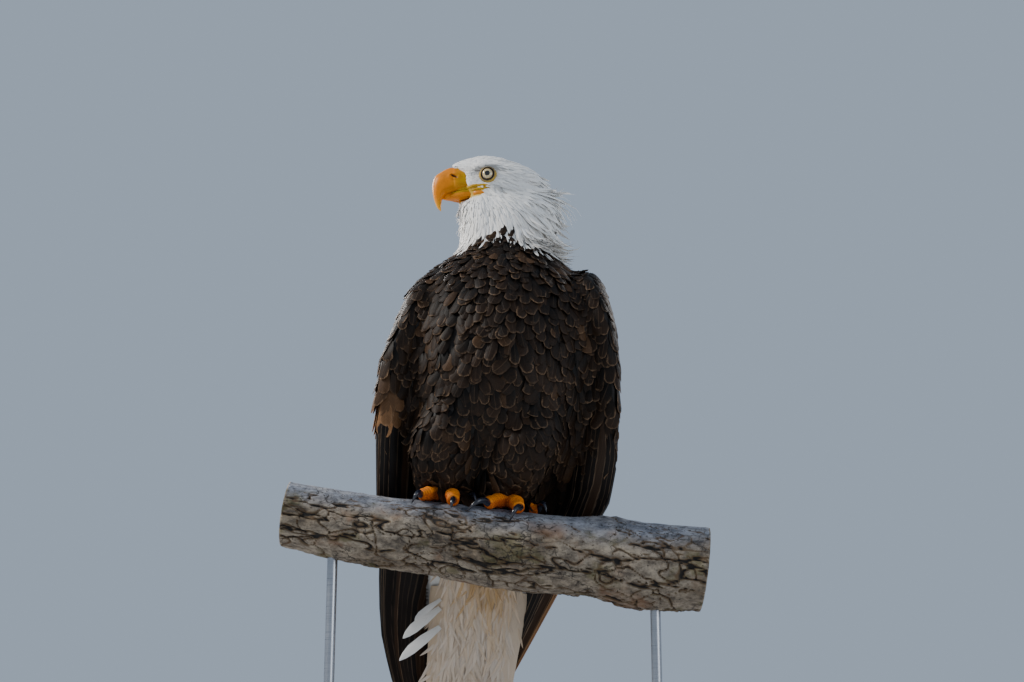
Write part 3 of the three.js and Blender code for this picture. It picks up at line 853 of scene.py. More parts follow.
# %% Vane shapes
class Vane:
    """One feather's faces and points: across (-1 to 1), high (top or underside) and the row along it."""

    def __init__(self, sides, rows):
        mesh, angle, along = tube(sides, len(rows) - 1)
        angle = angle + (math.pi / sides if sides % 4 else 0)
        self.row = np.round(along * (len(rows) - 1)).astype(int)
        self.across, self.high = np.sin(angle), np.cos(angle)
        self.along, self.width = np.array(rows, float).T
        self.total = np.array([len(face.vertices) for face in mesh.polygons])
        self.corners = np.array([v for face in mesh.polygons for v in face.vertices])
        bpy.data.meshes.remove(mesh)
        flat = np.stack([self.across * self.width[self.row], self.along[self.row], 0.1 * self.high], -1)
        starts = np.concatenate([[0], np.cumsum(self.total)[:-1]])
        volume = 0.0
        for start, total in zip(starts, self.total):
            ring = flat[self.corners[start : start + total]]
            for i in range(1, total - 1):
                volume += np.dot(ring[0], np.cross(ring[i], ring[i + 1]))
        if volume < 0:
            self.corners = np.concatenate([self.corners[s : s + n][::-1] for s, n in zip(starts, self.total)])
        self.triangles = int((self.total - 2).sum())


ROUND_VANE = Vane(8, [(0, 0.3), (0.34, 0.86), (0.64, 1), (0.83, 0.93), (0.945, 0.62), (1, 0.1)])
POINTED_VANE = Vane(8, [(0, 0.45), (0.3, 0.95), (0.58, 0.95), (0.8, 0.62), (0.93, 0.28), (1, 0.03)])
WISP_VANE = Vane(4, [(0, 0.7), (0.25, 1), (0.5, 0.9), (0.72, 0.66), (0.89, 0.36), (1, 0.03)])
SMALL_VANE = Vane(6, [(0, 0.45), (0.4, 0.95), (0.75, 0.85), (0.93, 0.45), (1, 0.08)])
LONG_ROWS = [(0, 0.5), (0.05, 0.85), (0.12, 1), (0.22, 1), (0.33, 1), (0.44, 1), (0.55, 1), (0.66, 0.99), (0.76, 0.97)]
LONG_ROWS += [(0.85, 0.93), (0.92, 0.82), (0.965, 0.6), (0.99, 0.33), (1, 0.07)]
LONG_VANE = Vane(12, LONG_ROWS)
for shape in (ROUND_VANE, POINTED_VANE, WISP_VANE, SMALL_VANE, LONG_VANE):
    print("a vane of", len(shape.total), "faces,", shape.triangles, "triangles")


# %% Join vanes into pieces
PIECE_LIMIT = 185_000


def vane_pieces(name, shape, points, uv, marks, finish):
    """Makes pieces from vanes' points (feather, point, 3), each below the limit on triangles."""
    per_piece = PIECE_LIMIT // shape.triangles
    parts = max(1, math.ceil(len(points) / per_piece))
    order = np.argsort(points[:, 0, 2])
    for part, chosen in enumerate(np.array_split(order, parts)):
        count, size = len(chosen), len(shape.across)
        mesh = bpy.data.meshes.new(name)
        mesh.vertices.add(count * size)
        mesh.vertices.foreach_set("co", points[chosen].astype(np.float32).ravel())
        corners = (shape.corners[None] + (np.arange(count) * size)[:, None]).ravel()
        totals = np.tile(shape.total, count)
        mesh.loops.add(len(corners))
        mesh.loops.foreach_set("vertex_index", corners.astype(np.int32))
        mesh.polygons.add(len(totals))
        starts = np.concatenate([[0], np.cumsum(totals)[:-1]])
        mesh.polygons.foreach_set("loop_start", starts.astype(np.int32))
        mesh.polygons.foreach_set("loop_total", totals.astype(np.int32))
        mesh.update(calc_edges=True)
        across, along = shape.across[shape.corners] * 0.5 + 0.5, shape.along[shape.row][shape.corners]
        own = np.stack([across, along], -1)
        for layer_name, values in {
            "OFBake": uv[chosen][:, None] + 0.003 * (own - 0.5)[None],
            "Vane": np.broadcast_to(own, (count, len(own), 2)),
        }.items():
            layer = mesh.uv_layers.new(name=layer_name)
            layer.data.foreach_set("uv", np.ascontiguousarray(values, np.float32).ravel())
        for mark, values in marks.items():
            layer = mesh.attributes.new(mark, "FLOAT", "POINT")
            layer.data.foreach_set("value", np.repeat(values[chosen], size).astype(np.float32))
        piece_name = name if parts == 1 else f"{name}_{part + 1}"
        add_piece(piece_name, mesh, finish.material)
        mesh.set_sharp_from_angle(angle=math.radians(60))


# %% [markdown]
# ## Roots and rows
# On a real bird feathers grow at an even distance from each other. Random places on the skin are tried one after
# another, and each one that is kept clears a small disc round it. From each root a feather then walks over the
# skin in the way that the plumage lies there, rising from the skin so that the next ones can lie under its tip.

# %% Scatter roots
from mathutils.kdtree import KDTree

skin_mesh.calc_loop_triangles()
tri_corners = np.empty(len(skin_mesh.loop_triangles) * 3, np.int32)
skin_mesh.loop_triangles.foreach_get("vertices", tri_corners)
tri_corners = tri_corners.reshape(-1, 3)
tri_loops = np.empty(len(tri_corners) * 3, np.int32)
skin_mesh.loop_triangles.foreach_get("loops", tri_loops)
skin_uv = np.empty(len(skin_mesh.loops) * 2, np.float32)
skin_mesh.uv_layers["OFBake"].data.foreach_get("uv", skin_uv)
tri_uv = skin_uv.reshape(-1, 2)[tri_loops.reshape(-1, 3)]
tri_points = skin_points[tri_corners]
tri_cross = np.cross(tri_points[:, 1] - tri_points[:, 0], tri_points[:, 2] - tri_points[:, 0])
tri_area = np.linalg.norm(tri_cross, axis=1) / 2
tri_middle = tri_points.mean(axis=1)
tri_node = skin_nodes[tri_corners[:, 0]]
tri_body = ~is_foot[tri_corners[:, 0]]
skin_tree = BVHTree.FromPolygons(skin_points.tolist(), tri_corners[tri_body].tolist())
skin_normals = mesh_normals(skin_mesh)


def scatter(wanted, spacing_at, crowding=10):
    """Roots on the wanted triangles, no closer than their spacing in mm. Gives points, normals, nodes and UVs."""
    area = np.where(wanted & tri_body, tri_area, 0)
    room_for = (area / (spacing_at(tri_middle) * MM) ** 2).sum()
    tries = int(room_for * crowding)
    pick = chance.choice(len(area), size=tries, p=area / area.sum())
    a, b = chance.random((2, tries))
    a, b = np.where(a + b > 1, 1 - a, a), np.where(a + b > 1, 1 - b, b)
    share = np.stack([1 - a - b, a, b], -1)[..., None]
    points = (tri_points[pick] * share).sum(1)
    spacing = spacing_at(points) * MM
    places = KDTree(tries)
    for i, point in enumerate(points):
        places.insert(point, i)
    places.balance()
    free = np.ones(tries, bool)
    kept = []
    for i in range(tries):
        if free[i]:
            kept.append(i)
            for _, near, _ in places.find_range(points[i], spacing[i]):
                free[near] = False
    kept = np.array(kept)
    normals = unit((skin_normals[tri_corners[pick[kept]]] * share[kept]).sum(1))
    uv = (tri_uv[pick[kept]] * share[kept]).sum(1)
    return points[kept], normals, tri_node[pick[kept]], uv


# %% How plumage lies
def lie_of_body(points):
    local = into(bird_frame, points)
    spread = np.clip(local[:, 0] / 500, -0.25, 0.25)
    return turned(bird_frame, np.stack([spread, np.full(len(points), 0.03), np.full(len(points), -1)], -1))


def lie_of_wing(points):
    return turned(bird_frame, np.broadcast_to([0, 0.33, -0.94], points.shape))


def lie_of_head(points):
    """Back over the crown, more and more downwards towards the throat; the nape's hackles stay out behind."""
    local = into(head_frame, points)
    back, up = local[:, 1], local[:, 2]
    below = np.interp(up, [-75, -45, -22, 0, 20, 30], [84, 66, 40, 20, 8, 4])
    below += 34 * np.clip((10 - back) / 30, 0, 1) * np.clip((-18 - up) / 12, 0, 1)
    below *= 1 - 0.5 * np.clip((back - 18) / 35, 0, 1) * np.clip((up + 70) / 30, 0, 1)
    below = np.radians(np.minimum(below, 92))
    return turned(head_frame, np.stack([np.zeros(len(points)), np.cos(below), -np.sin(below)], -1))


def lie_of_neck(points):
    height = into(bird_frame, points)[:, 2:]
    share = np.clip((height - 350) / 60, 0, 1)
    return share * lie_of_head(points) + (1 - share) * lie_of_body(points)


# %% Walk feathers over the skin
def walk(shape, roots, normals, ways, lengths, bend, tree):
    """For each feather and row: the spine's point, the way across it and the way up."""
    way = unit(ways - normals * (ways * normals).sum(1, keepdims=True))
    up, point = normals, roots
    spine, across, upright = [roots], [np.cross(way, up)], [up]
    for step in np.diff(shape.along):
        way = unit(way + np.cross(way, up) * (bend * step)[:, None])
        ahead_by = point + way * (lengths * step * MM)[:, None]
        found = [tree.find_nearest(Vector(p)) for p in ahead_by]
        near = np.array([f[0] for f in found])
        normal = np.array([f[1] for f in found])
        off = np.linalg.norm(near - ahead_by, axis=1)
        stays = (off < 5 * MM) & ((normal * up).sum(1) > 0.2)
        point = np.where(stays[:, None], near, ahead_by)
        up = np.where(stays[:, None], unit(up + normal), up)
        way = unit(way - up * (way * up).sum(1, keepdims=True))
        spine.append(point)
        across.append(np.cross(way, up))
        upright.append(up)
    return [np.stack(values, 1) for values in (spine, across, upright)]


def lay_vanes(shape, walked, widths, lifts, cup=0.12, roll=None, thick=0.35, curl=None, worn=0.0):
    """Puts vanes on walked spines. widths are half widths; lifts are each row's height over the skin; all in mm.
    worn is how much the two edges wander."""
    spine, across, upright = (values[:, shape.row] for values in walked)
    wander = 1 + chance.normal(0, max(worn, 1e-9), (len(widths), len(shape.along), 2))
    half = widths[:, None] * shape.width[shape.row][None] * wander[:, shape.row, (shape.across > 0).astype(int)]
    along = shape.along[shape.row][None]
    height = lifts[:, shape.row] - cup * half * shape.across[None] ** 2
    height = height + thick * shape.high[None] * (1 - 0.6 * along)
    if roll is not None:
        height = height + roll[:, None] * half * shape.across[None]
    if curl is not None:
        height = height + curl[:, None] * along**2
    return spine + (across * (half * shape.across[None])[..., None] + upright * height[..., None]) * MM


print("ready to lay feathers on", int(tri_body.sum()), "triangles of skin")

# %% [markdown]
# ## Feather finishes
# Close up, a vane is a comb of fine barbs that slope from the shaft towards the tip, and its colour follows them.
# So each finish reads the vane's own map: how far across and how far along. Body feathers are nearly black-brown
# with a worn, paler edge. Flight feathers are darker and glossier with a pale shaft. White ones are never quite
# plain white: they are darker at the root, partly greyer bases and partly painted shade for the gaps between
# feathers, and creamy on the tail.

# %% Dark and white finishes
def start_vane_finish(name, **sockets):
    """A finish with its across (0 at the shaft, 1 at the edge), along, and fine barbs, each as an output."""
    finish = Finish(name, **sockets)
    parts = finish.add("SeparateXYZ", [finish.uv("Vane")])
    along = parts.node.outputs["Y"]
    across = finish.maths("ABSOLUTE", finish.maths("MULTIPLY_ADD", parts.node.outputs["X"], 2, -1))
    slanted = finish.maths("MULTIPLY_ADD", across, -0.22, along)
    at = finish.add("CombineXYZ", [finish.maths("MULTIPLY", across, 1.2), finish.maths("MULTIPLY", slanted, 34)])
    finish.tree.links.new(finish.maths("MULTIPLY", finish.attribute("tint"), 53), at.node.inputs["Z"])
    barbs = finish.noise(1.0, 3, at, 0.65)
    return finish, across, along, barbs


def finish_dark(name, dark, light, edge, rim_from, rim_along, roughness, shaft_width):
    finish, across, along, barbs = start_vane_finish(name, Roughness=roughness, Specular_IOR_Level=0.14)
    tip_share = finish.step(along, 0.25, 0.95)
    tone = finish.maths("MULTIPLY_ADD", finish.attribute("tint"), 0.75, finish.maths("MULTIPLY", tip_share, 0.3), clamp=True)
    body = finish.mix(tone, linear(*dark), linear(*light))
    fringe = finish.maths("MULTIPLY", finish.step(barbs, 0.46, 0.72), tip_share)
    body = finish.mix(finish.maths("MULTIPLY", fringe, 0.55), body, linear(*[c * 1.6 for c in light]))
    rim = finish.maths("MULTIPLY", finish.step(across, rim_from, 1.0), finish.step(along, *rim_along))
    worn_edge = finish.maths("MULTIPLY", finish.maths("MAXIMUM", rim, finish.step(along, 0.9, 1.0)), finish.step(barbs, 0.3, 0.62))
    body = finish.mix(finish.maths("MULTIPLY", worn_edge, finish.attribute("pale")), body, linear(*edge))
    # warm mixes in a warm brown: painted sunlight on the right wrist's coverts, and the feathers' own rusty tone
    # elsewhere.
    warm = finish.mix(barbs, linear(96, 60, 34), linear(196, 146, 100))
    body = finish.mix(finish.attribute("warm"), body, warm)
    shaft = finish.maths("SUBTRACT", 1, finish.step(across, 0.4 * shaft_width, shaft_width))
    body = finish.mix(finish.maths("MULTIPLY", shaft, finish.attribute("shaft")), body, linear(*edge))
    finish.color(body)
    finish.bump(finish.maths("ADD", barbs, shaft), 0.0003, 0.5)
    return finish


body_finish = finish_dark("body_vane", (6, 5, 4), (38, 26, 17), (136, 108, 82), 0.62, (0.45, 0.85), 0.55, 0.08)
flight_finish = finish_dark("quill_vane", (6, 6, 7), (28, 21, 18), (124, 104, 84), 0.8, (0.02, 0.12), 0.42, 0.1)

white_finish, across, along, barbs = start_vane_finish("white_vane", Roughness=0.6, Sheen_Weight=0.12)
white_body = white_finish.mix(white_finish.attribute("tint"), linear(228, 229, 229), linear(246, 245, 241))
# Darker at the root: partly greyer feather bases, partly painted shade in the gaps between feathers.
white_body = white_finish.mix(white_finish.step(along, 0.35, 0.0), white_body, linear(226, 226, 222))
streaks = white_finish.maths("MULTIPLY", white_finish.step(barbs, 0.5, 0.3), 0.2)
white_body = white_finish.mix(streaks, white_body, linear(170, 170, 170))
white_body = white_finish.mix(white_finish.attribute("cream"), white_body, linear(206, 168, 116), "MULTIPLY")
# The grey attribute greys the white vanes: grey feathers, and painted shade under the brow ridge.
white_body = white_finish.mix(white_finish.attribute("grey"), white_body, linear(86, 80, 72))
white_finish.color(white_body)
white_finish.bump(barbs, 0.0003, 0.45)
print("feather finishes:", [f.material.name for f in (body_finish, flight_finish, white_finish)])

# %% [markdown]
# ## The hood
# The smallest feathers are at the bill, hardly five millimetres long. They grow longer over the crown and cheeks,
# and end in the nape's pointed hackles, three centimetres long, which the wind has lifted into ragged tufts.

# %% Lay the hood
def hood_size(points):
    """0 for the small feathers at the bill, 1 for the longest hackles."""
    local = into(head_frame, points)
    by_back = np.clip((local[:, 1] + 38) / 88, 0, 1)
    by_throat = np.clip((-22 - local[:, 2]) / 30, 0, 1) * 0.92
    return np.maximum(by_back, by_throat)


def varied(count, spread):
    return 1 + spread * chance.uniform(-1, 1, count)


def turned_a_little(ways, normals, degrees):
    """Turns each direction about its normal by a random angle."""
    angle = np.radians(chance.normal(0, degrees, len(ways)))[:, None]
    return ways * np.cos(angle) + np.cross(normals, ways) * np.sin(angle)


tri_name = np.array(FLESH)[tri_node]
tri_white = white_share(tri_middle, tri_node, hang=20) > 0.5
hood_area = tri_white & (tri_name != "tail") & (into(bird_frame, tri_middle)[:, 2] > 200) & ~bare_face(tri_middle)
roots, normals, nodes, uv = scatter(hood_area, lambda points: 1.5 + 1.75 * hood_size(points))
size = hood_size(roots)
local = into(head_frame, roots)
ways = turned_a_little(lie_of_neck(roots), normals, 8)
lengths = (5.2 + 25 * size**1.3) * varied(len(roots), 0.2)
widths = (1.15 + 1.6 * size) * varied(len(roots), 0.18)
# Two tufts of the nape stand out behind, one at the ears' height and one lower down.
tuft = np.exp(-(((local[:, 2] + 6) / 17) ** 2)) + np.exp(-(((local[:, 2] + 60) / 15) ** 2)) + 0.35
tuft = tuft * np.clip((local[:, 1] - 30) / 22, 0, 1)
clumps = np.sin(local[:, 2] * 0.42) * np.sin(local[:, 0] * 0.3 + 1) + chance.normal(0, 0.45, len(roots))
chin = np.clip((-local[:, 1] - 12) / 16, 0, 1) * np.exp(-(((local[:, 2] + 36) / 13) ** 2))
curl = tuft * np.clip(clumps + 0.75, 0.25, 1.7) * 12.5 + chin * 5.5 * chance.random(len(roots))
lengths *= 1 + 0.3 * tuft * np.clip(clumps + 0.2, 0, 1)
tip_lift = (0.4 + 1.9 * size**1.3) * varied(len(roots), 0.35)
marks = {
    "tint": chance.random(len(roots)),
    "grey": grey_and_brow_shade(roots),
    "cream": 0.05 + 0.16 * chance.random(len(roots)) * np.clip((-local[:, 2] - 24) / 30, 0.2, 1),
}
wispy = (size >= 0.45) & (chance.random(len(roots)) < 0.3)
for name, shape, chosen, slimmer in (
    ("feathers_face", SMALL_VANE, size < 0.45, 1.0),
    ("feathers_nape", POINTED_VANE, (size >= 0.45) & ~wispy, 1.0),
    ("feathers_wisps", WISP_VANE, wispy, 0.78),
):
    bend = chance.normal(0, 0.16, chosen.sum())
    reach = lengths[chosen] * (1.16 if slimmer < 1 else 1)
    walked = walk(shape, roots[chosen], normals[chosen], ways[chosen], reach, bend, skin_tree)
    lifts = 0.15 + (tip_lift[chosen, None] + (0.9 if slimmer < 1 else 0)) * shape.along[None] ** 0.8
    points = lay_vanes(
        shape, walked, widths[chosen] * slimmer, lifts, 0.22, thick=0.2, curl=curl[chosen] * (2 - slimmer), worn=0.05
    )
    vane_pieces(name, shape, points, uv[chosen], {k: v[chosen] for k, v in marks.items()}, white_finish)
print("hood:", len(roots), "feathers")

# %% [markdown]
# ## Breast, back and trousers
# The dark body feathers are as broad as they are long where they show: round scales with a worn edge. They lie a
# little untidily, because a bird that sits in the wind fluffs its breast.

# %% Lay the body
BODY_NODES = ["trunk", "neck", "leg_left", "leg_right"]


def body_spacing(points):
    local = into(bird_frame, points)
    spacing = np.interp(local[:, 2], [30, 80, 180, 280, 340, 375], [6.4, 7.6, 8.2, 8.2, 6.4, 4.2])
    return spacing * (1 + 0.25 * np.clip(local[:, 1] / 70, 0, 1))


body_area = np.isin(tri_name, BODY_NODES) & ~tri_white
roots, normals, nodes, uv = scatter(body_area, body_spacing)
spacing = body_spacing(roots)
local = into(bird_frame, roots)
ways = turned_a_little(lie_of_body(roots), normals, 14)
lengths = spacing * 3.2 * varied(len(roots), 0.22)
widths = spacing * 0.88 * varied(len(roots), 0.22)
low = np.clip((95 - local[:, 2]) / 60, 0, 1)
lengths *= 1 + 0.5 * low
ruffle = np.sin(local[:, 0] * 0.11 + 2) * np.sin(local[:, 2] * 0.083) + chance.normal(0, 0.5, len(roots))
front = np.clip(-local[:, 1] / 60, 0, 1)
tip_lift = spacing * 0.6 * (1 + 0.32 * np.clip(ruffle, -1, 1.5))
patchy = np.sin(local[:, 0] * 0.07 + 1) * np.sin(local[:, 2] * 0.05 + 0.5)
rusty = chance.random(len(roots)) < 0.1
# warm here is painted sunlight near the right wrist, and the feathers' own warm tone on a rusty tenth of them.
marks = {
    "tint": np.clip(chance.random(len(roots)) ** 1.6 + 0.25 * patchy, 0, 1),
    "pale": np.clip(0.3 + 0.22 * ruffle + chance.normal(0, 0.26, len(roots)), 0.02, 1),
    "warm": np.maximum(0.55 * painted_sunlight_share(roots), np.where(rusty, 0.14, 0.0)) * chance.random(len(roots)),
    "shaft": 0.14 * chance.random(len(roots)) ** 2,
}
walked = walk(ROUND_VANE, roots, normals, ways, lengths, chance.normal(0, 0.3, len(roots)), skin_tree)
lifts = 0.6 + tip_lift[:, None] * ROUND_VANE.along[None] ** 0.75
points = lay_vanes(
    ROUND_VANE, walked, widths, lifts, 0.24, roll=chance.normal(0, 0.12, len(roots)),
    curl=chance.normal(0, 1.0, len(roots)) * front, worn=0.09,
)
vane_pieces("feathers_body", ROUND_VANE, points, uv, marks, body_finish)
print("body:", len(roots), "feathers")

# %% [markdown]
# ## Wing coverts
# Rows of coverts roof the folded wing, small and dense at the shoulder and larger lower down, until the long
# flight feathers come out from under them.

# %% Lay the coverts
def covert_end(points):
    """Height below which no covert is rooted: the left wing's outer edge has them nearly down to the limb."""
    local = into(bird_frame, points)
    lowest = np.interp(local[:, 0], [-140, -110, 60, 105, 130, 150], [128, 146, 160, 118, 66, 46])
    return lowest + 7 * np.sin(local[:, 1] * 0.15)


def covert_spacing(points):
    return np.interp(into(bird_frame, points)[:, 2], [60, 180, 280, 340], [9.5, 9.2, 7, 5])


is_wing = np.isin(tri_name, ["wing_left", "wing_right"])
roots, normals, nodes, uv = scatter(is_wing & (into(bird_frame, tri_middle)[:, 2] > covert_end(tri_middle)), covert_spacing)
spacing = covert_spacing(roots)
local = into(bird_frame, roots)
ways = turned_a_little(lie_of_wing(roots), normals, 8)
lengths = spacing * 3.5 * varied(len(roots), 0.16)
widths = spacing * 0.88 * varied(len(roots), 0.16)
# The patch of coverts at the right wrist that is painted warm brown for sunlight.
sunlit_coverts = painted_sunlight_share(roots)
# At the right wrist the wind has lifted them, and a few dark ones stand off it.
wrist = np.clip((-local[:, 0] - 112) / 20, 0, 1) * np.exp(-(((local[:, 2] - 178) / 30) ** 2))
tip_lift = spacing * (0.36 + 0.75 * wrist) * varied(len(roots), 0.35)
marks = {
    "tint": chance.random(len(roots)) ** 1.5,
    "pale": np.clip(0.6 + chance.normal(0, 0.25, len(roots)), 0.08, 1),
    "warm": np.clip(sunlit_coverts * (0.1 + 1.1 * chance.random(len(roots)) ** 1.4), 0, 0.9),
    "shaft": 0.2 * chance.random(len(roots)) ** 2,
}
lengths *= 1 + 0.35 * sunlit_coverts
walked = walk(ROUND_VANE, roots, normals, ways, lengths, chance.normal(0, 0.14, len(roots)), skin_tree)
lifts = 0.8 + tip_lift[:, None] * ROUND_VANE.along[None] ** 0.8
points = lay_vanes(ROUND_VANE, walked, widths, lifts, 0.18, roll=chance.normal(0, 0.07, len(roots)), worn=0.06)
vane_pieces("feathers_coverts", ROUND_VANE, points, uv, marks, body_finish)
print("coverts:", len(roots), "feathers")

# %% [markdown]
# ## Flight feathers
# The quills are long and lie side by side along the wing, each half under the next. They are placed on the wing's
# own sections: an oval at each height, with an angle round it from its front edge. A feather keeps its angle from
# root to tip, so that all of them draw together towards the wing's point.

# %% The wing's sections
# Height, how far out the outline reaches, middle back, half length, half thickness, and turn in degrees.
WING_ROWS = {
    1: [
        (337, 116, 12, 38, 20, 0), (305, 129, 12, 66, 30, 7), (263, 141, 22, 84, 34, 13), (213, 148, 36, 93, 33, 20),
        (163, 151, 52, 97, 31, 27), (113, 151, 68, 95, 27, 33), (63, 144, 87, 86, 23, 39), (10, 116, 107, 69, 17.5, 46),
        (-43, 93, 128, 55, 13, 54), (-96, 68, 150, 43, 10, 60), (-150, 42, 172, 30, 7, 64), (-205, 24, 192, 17, 4.5, 68),
        (-240, 15, 203, 7, 2, 70),
    ],
    -1: [
        (320, 107, 12, 36, 18, 0), (290, 122, 12, 62, 27, 7), (245, 134, 22, 81, 32, 13), (200, 145, 36, 92, 33, 20),
        (145, 141, 52, 96, 31, 27), (95, 136, 68, 93, 27, 31), (45, 132, 87, 84, 23, 34), (-5, 126, 105, 71, 18.5, 38),
        (-60, 124, 126, 56, 14, 41), (-110, 117, 146, 45, 10.5, 46), (-160, 100, 166, 34, 8, 54), (-210, 70, 186, 22, 5, 60),
        (-248, 44, 199, 8, 2, 64),
    ],
}


def wing_section(way, height):
    rows = np.array(WING_ROWS[way][::-1], float)
    outline, back, long, thick, turn = (np.interp(height, rows[:, 0], rows[:, i]) for i in range(1, 6))
    inward, backward = np.sin(np.radians(turn)), np.cos(np.radians(turn))
    middle = np.stack([way * (outline - np.hypot(long * inward, thick * backward)), back, height], -1)
    front = np.stack([way * inward, -backward, 0 * inward], -1)
    outside = np.stack([way * backward, inward, 0 * inward], -1)
    return middle, front, outside, long, thick


def flight_vanes(way, quills, base, tilt):
    """Quills: angle round the section, half width, root height and tip height. Gives points in the bird's frame."""
    shape = LONG_VANE
    angle, half, root, tip = (np.array(values, float)[:, None] for values in zip(*quills))
    height = root + (tip - root) * shape.along[shape.row][None]
    middle, front, outside, long, thick = wing_section(way, height)
    # The root dives under the coverts.
    sunk = 8 * np.exp(-((shape.along[shape.row][None] / 0.07) ** 2))
    inset = np.minimum(base + sunk, 0.42 * thick)
    long, thick = long - inset, thick - inset
    angle = np.radians(angle) * np.ones_like(height)
    pace = np.maximum(np.hypot(long * np.sin(angle), thick * np.cos(angle)), 6)
    narrowing = np.clip(long / 62, 0.3, 1)
    swing = np.clip(half * narrowing * shape.width[shape.row][None] / pace, 0, 0.75)
    angle = angle + swing * shape.across[None]
    out = front * (long * np.cos(angle))[..., None] + outside * (thick * np.sin(angle))[..., None]
    normal = unit(front * (np.cos(angle) / long)[..., None] + outside * (np.sin(angle) / thick)[..., None])
    lift = tilt * shape.across[None] + 0.3 * shape.high[None] * (1 - 0.4 * shape.along[shape.row][None])
    return middle + out + normal * lift[..., None]


def quill_row(angles, half, roots, tips):
    """A row of quills at even angles, with roots and tips interpolated from a few given ones."""
    share = np.linspace(0, 1, len(angles))
    heights = [np.interp(share, np.linspace(0, 1, len(values)), values) for values in (roots, tips)]
    return [(a, half, r + chance.normal(0, 3), t + chance.normal(0, 2)) for a, r, t in zip(angles, *heights)]


# %% Lay the flight feathers
def nearest_uv(points):
    """Where on the skin's map the skin nearest to each point is."""
    found = [skin_tree.find_nearest(Vector(p))[2] for p in points]
    return tri_uv[np.flatnonzero(tri_body)[found]].mean(axis=1)


for way, side in ((1, "left"), (-1, "right")):
    # The left wing's coverts reach lower at its outer edge, so there the quills begin lower too.
    front_roots = [126, 84, 66, 92, 120, 120, 120] if way == 1 else [126, 120, 120]
    rows = [
        # The primaries, under all the others.
        (quill_row(np.linspace(-14, 160, 19), 11, front_roots, [-178, -216, -240, -244, -228, -200, -168, -130]), 3.4, 1.3),
        # Their undersides, towards the body and tail.
        (quill_row(np.linspace(-20, -166, 15), 9, [160, 140], [-185, -225, -242, -225, -190, -150]), 3.4, -1.3),
        # The secondaries and tertials.
        (quill_row(np.linspace(22, 172, 20), 11, [72, 130, 176, 190, 205] if way == 1 else [136, 176, 205], [-20, 0, -10, -30, -42]), 1.9, 1.3),
        # The outer edge's own narrow feathers.
        (quill_row(np.linspace(-12, 20, 7), 5.5, [138, 100, 80] if way == 1 else [140, 132], [-20, 10]), 1.6, 1.0),
    ]
    points = np.concatenate([flight_vanes(way, quills, base, tilt) for quills, base, tilt in rows])
    points = out_of(bird_frame, points)
    count = len(points)
    marks = {
        "tint": chance.random(count),
        "pale": np.clip(chance.normal(0.5, 0.25, count), 0.05, 1),
        "warm": np.where(chance.random(count) < 0.3, 0.07, 0.0),
        "shaft": 0.1 + 0.3 * chance.random(count) ** 2,
    }
    # A few long ones at the wing's front edge are bleached to a light brown.
    marks["warm"][[0, 2] if way == 1 else []] = 0.8
    vane_pieces(f"quills_{side}", LONG_VANE, points, nearest_uv(points[:, 0]), marks, flight_finish)
    print(side, "wing:", count, "quills")

# %% [markdown]
# ## The tail
# Twelve broad white feathers make the tail. Their bases are hidden, below by long downy coverts that run from
# the vent, and above by shorter ones.

# %% Lay the tail
# Height, middle across, middle back, half width, half thickness.
TAIL_ROWS = [(26.5, -2, 97, 52, 32), (0, -2, 104, 61, 28), (-50, -2, 117, 61, 20), (-100, -4, 132, 56, 12)]
TAIL_ROWS += [(-160, -6, 149, 52, 7.5), (-220, -7, 166, 53, 5), (-262, -8, 178, 52, 3.6), (-292, -8, 187, 50, 2)]


def tail_vanes(face, fractions, half, root, inset):
    """face is -1 for the underside, which is in front, and 1 for the upper side."""
    shape = LONG_VANE
    share = np.array(fractions)[:, None]
    tip = -290 + 24 * share**2
    height = root + (tip - root) * shape.along[shape.row][None]
    rows = np.array(TAIL_ROWS[::-1])
    across, back, wide, thick = (np.interp(height, rows[:, 0], rows[:, i]) for i in range(1, 5))
    aside = np.clip(share * (wide - 4) + half * shape.width[shape.row] * shape.across[None], -wide, wide)
    bulge = np.sqrt(np.clip(1 - (aside / (wide + 1)) ** 2, 0, 1))
    lift = -face * np.sign(share) * -0.7 * shape.across[None] + 0.25 * shape.high[None]
    out = np.maximum(thick - inset, 0.45 * thick) * bulge + lift
    return np.stack([across + aside, back + face * out, height], -1)


TAIL_FRACTIONS = (np.arange(12) - 5.5) / 5.5 * 0.94
for face, side, root, inset in ((-1, "under", -40, 4.4), (1, "upper", 12, 2.2)):
    points = out_of(bird_frame, tail_vanes(face, TAIL_FRACTIONS, 13, root, inset))
    marks = {"tint": chance.random(12), "cream": 0.55 + 0.2 * chance.random(12), "grey": 0.1 * chance.random(12)}
    vane_pieces(f"tail_{side}", LONG_VANE, points, nearest_uv(points[:, 0]), marks, white_finish)

tail_local = into(bird_frame, tri_middle)
covert_low = np.where(tail_local[:, 1] < 104 - 0.27 * tail_local[:, 2], -185, -95)
facing = np.abs(unit(tri_cross) @ turned(bird_frame, [0, 1, 0]))
vent_area = tri_white & (tail_local[:, 2] < 60) & (tail_local[:, 2] > covert_low)
vent_area &= (facing > 0.55) & (np.abs(tail_local[:, 0] + 4) < 43)
roots, normals, nodes, uv = scatter(vent_area, lambda points: np.full(len(points), 3.9))
local = into(bird_frame, roots)
ways = turned_a_little(turned(bird_frame, np.broadcast_to([0, 0.28, -0.96], roots.shape)), normals, 9)
lengths = 56 * varied(len(roots), 0.25)
widths = 2.7 * varied(len(roots), 0.3)
walked = walk(POINTED_VANE, roots, normals, ways, lengths, chance.normal(0, 0.3, len(roots)), skin_tree)
lifts = 1.0 + 3.0 * varied(len(roots), 0.6)[:, None] * POINTED_VANE.along[None] ** 0.7
points = lay_vanes(
    POINTED_VANE, walked, widths, lifts, 0.3, roll=chance.normal(0, 0.12, len(roots)), thick=0.22,
    curl=chance.normal(0, 1.2, len(roots)), worn=0.1,
)
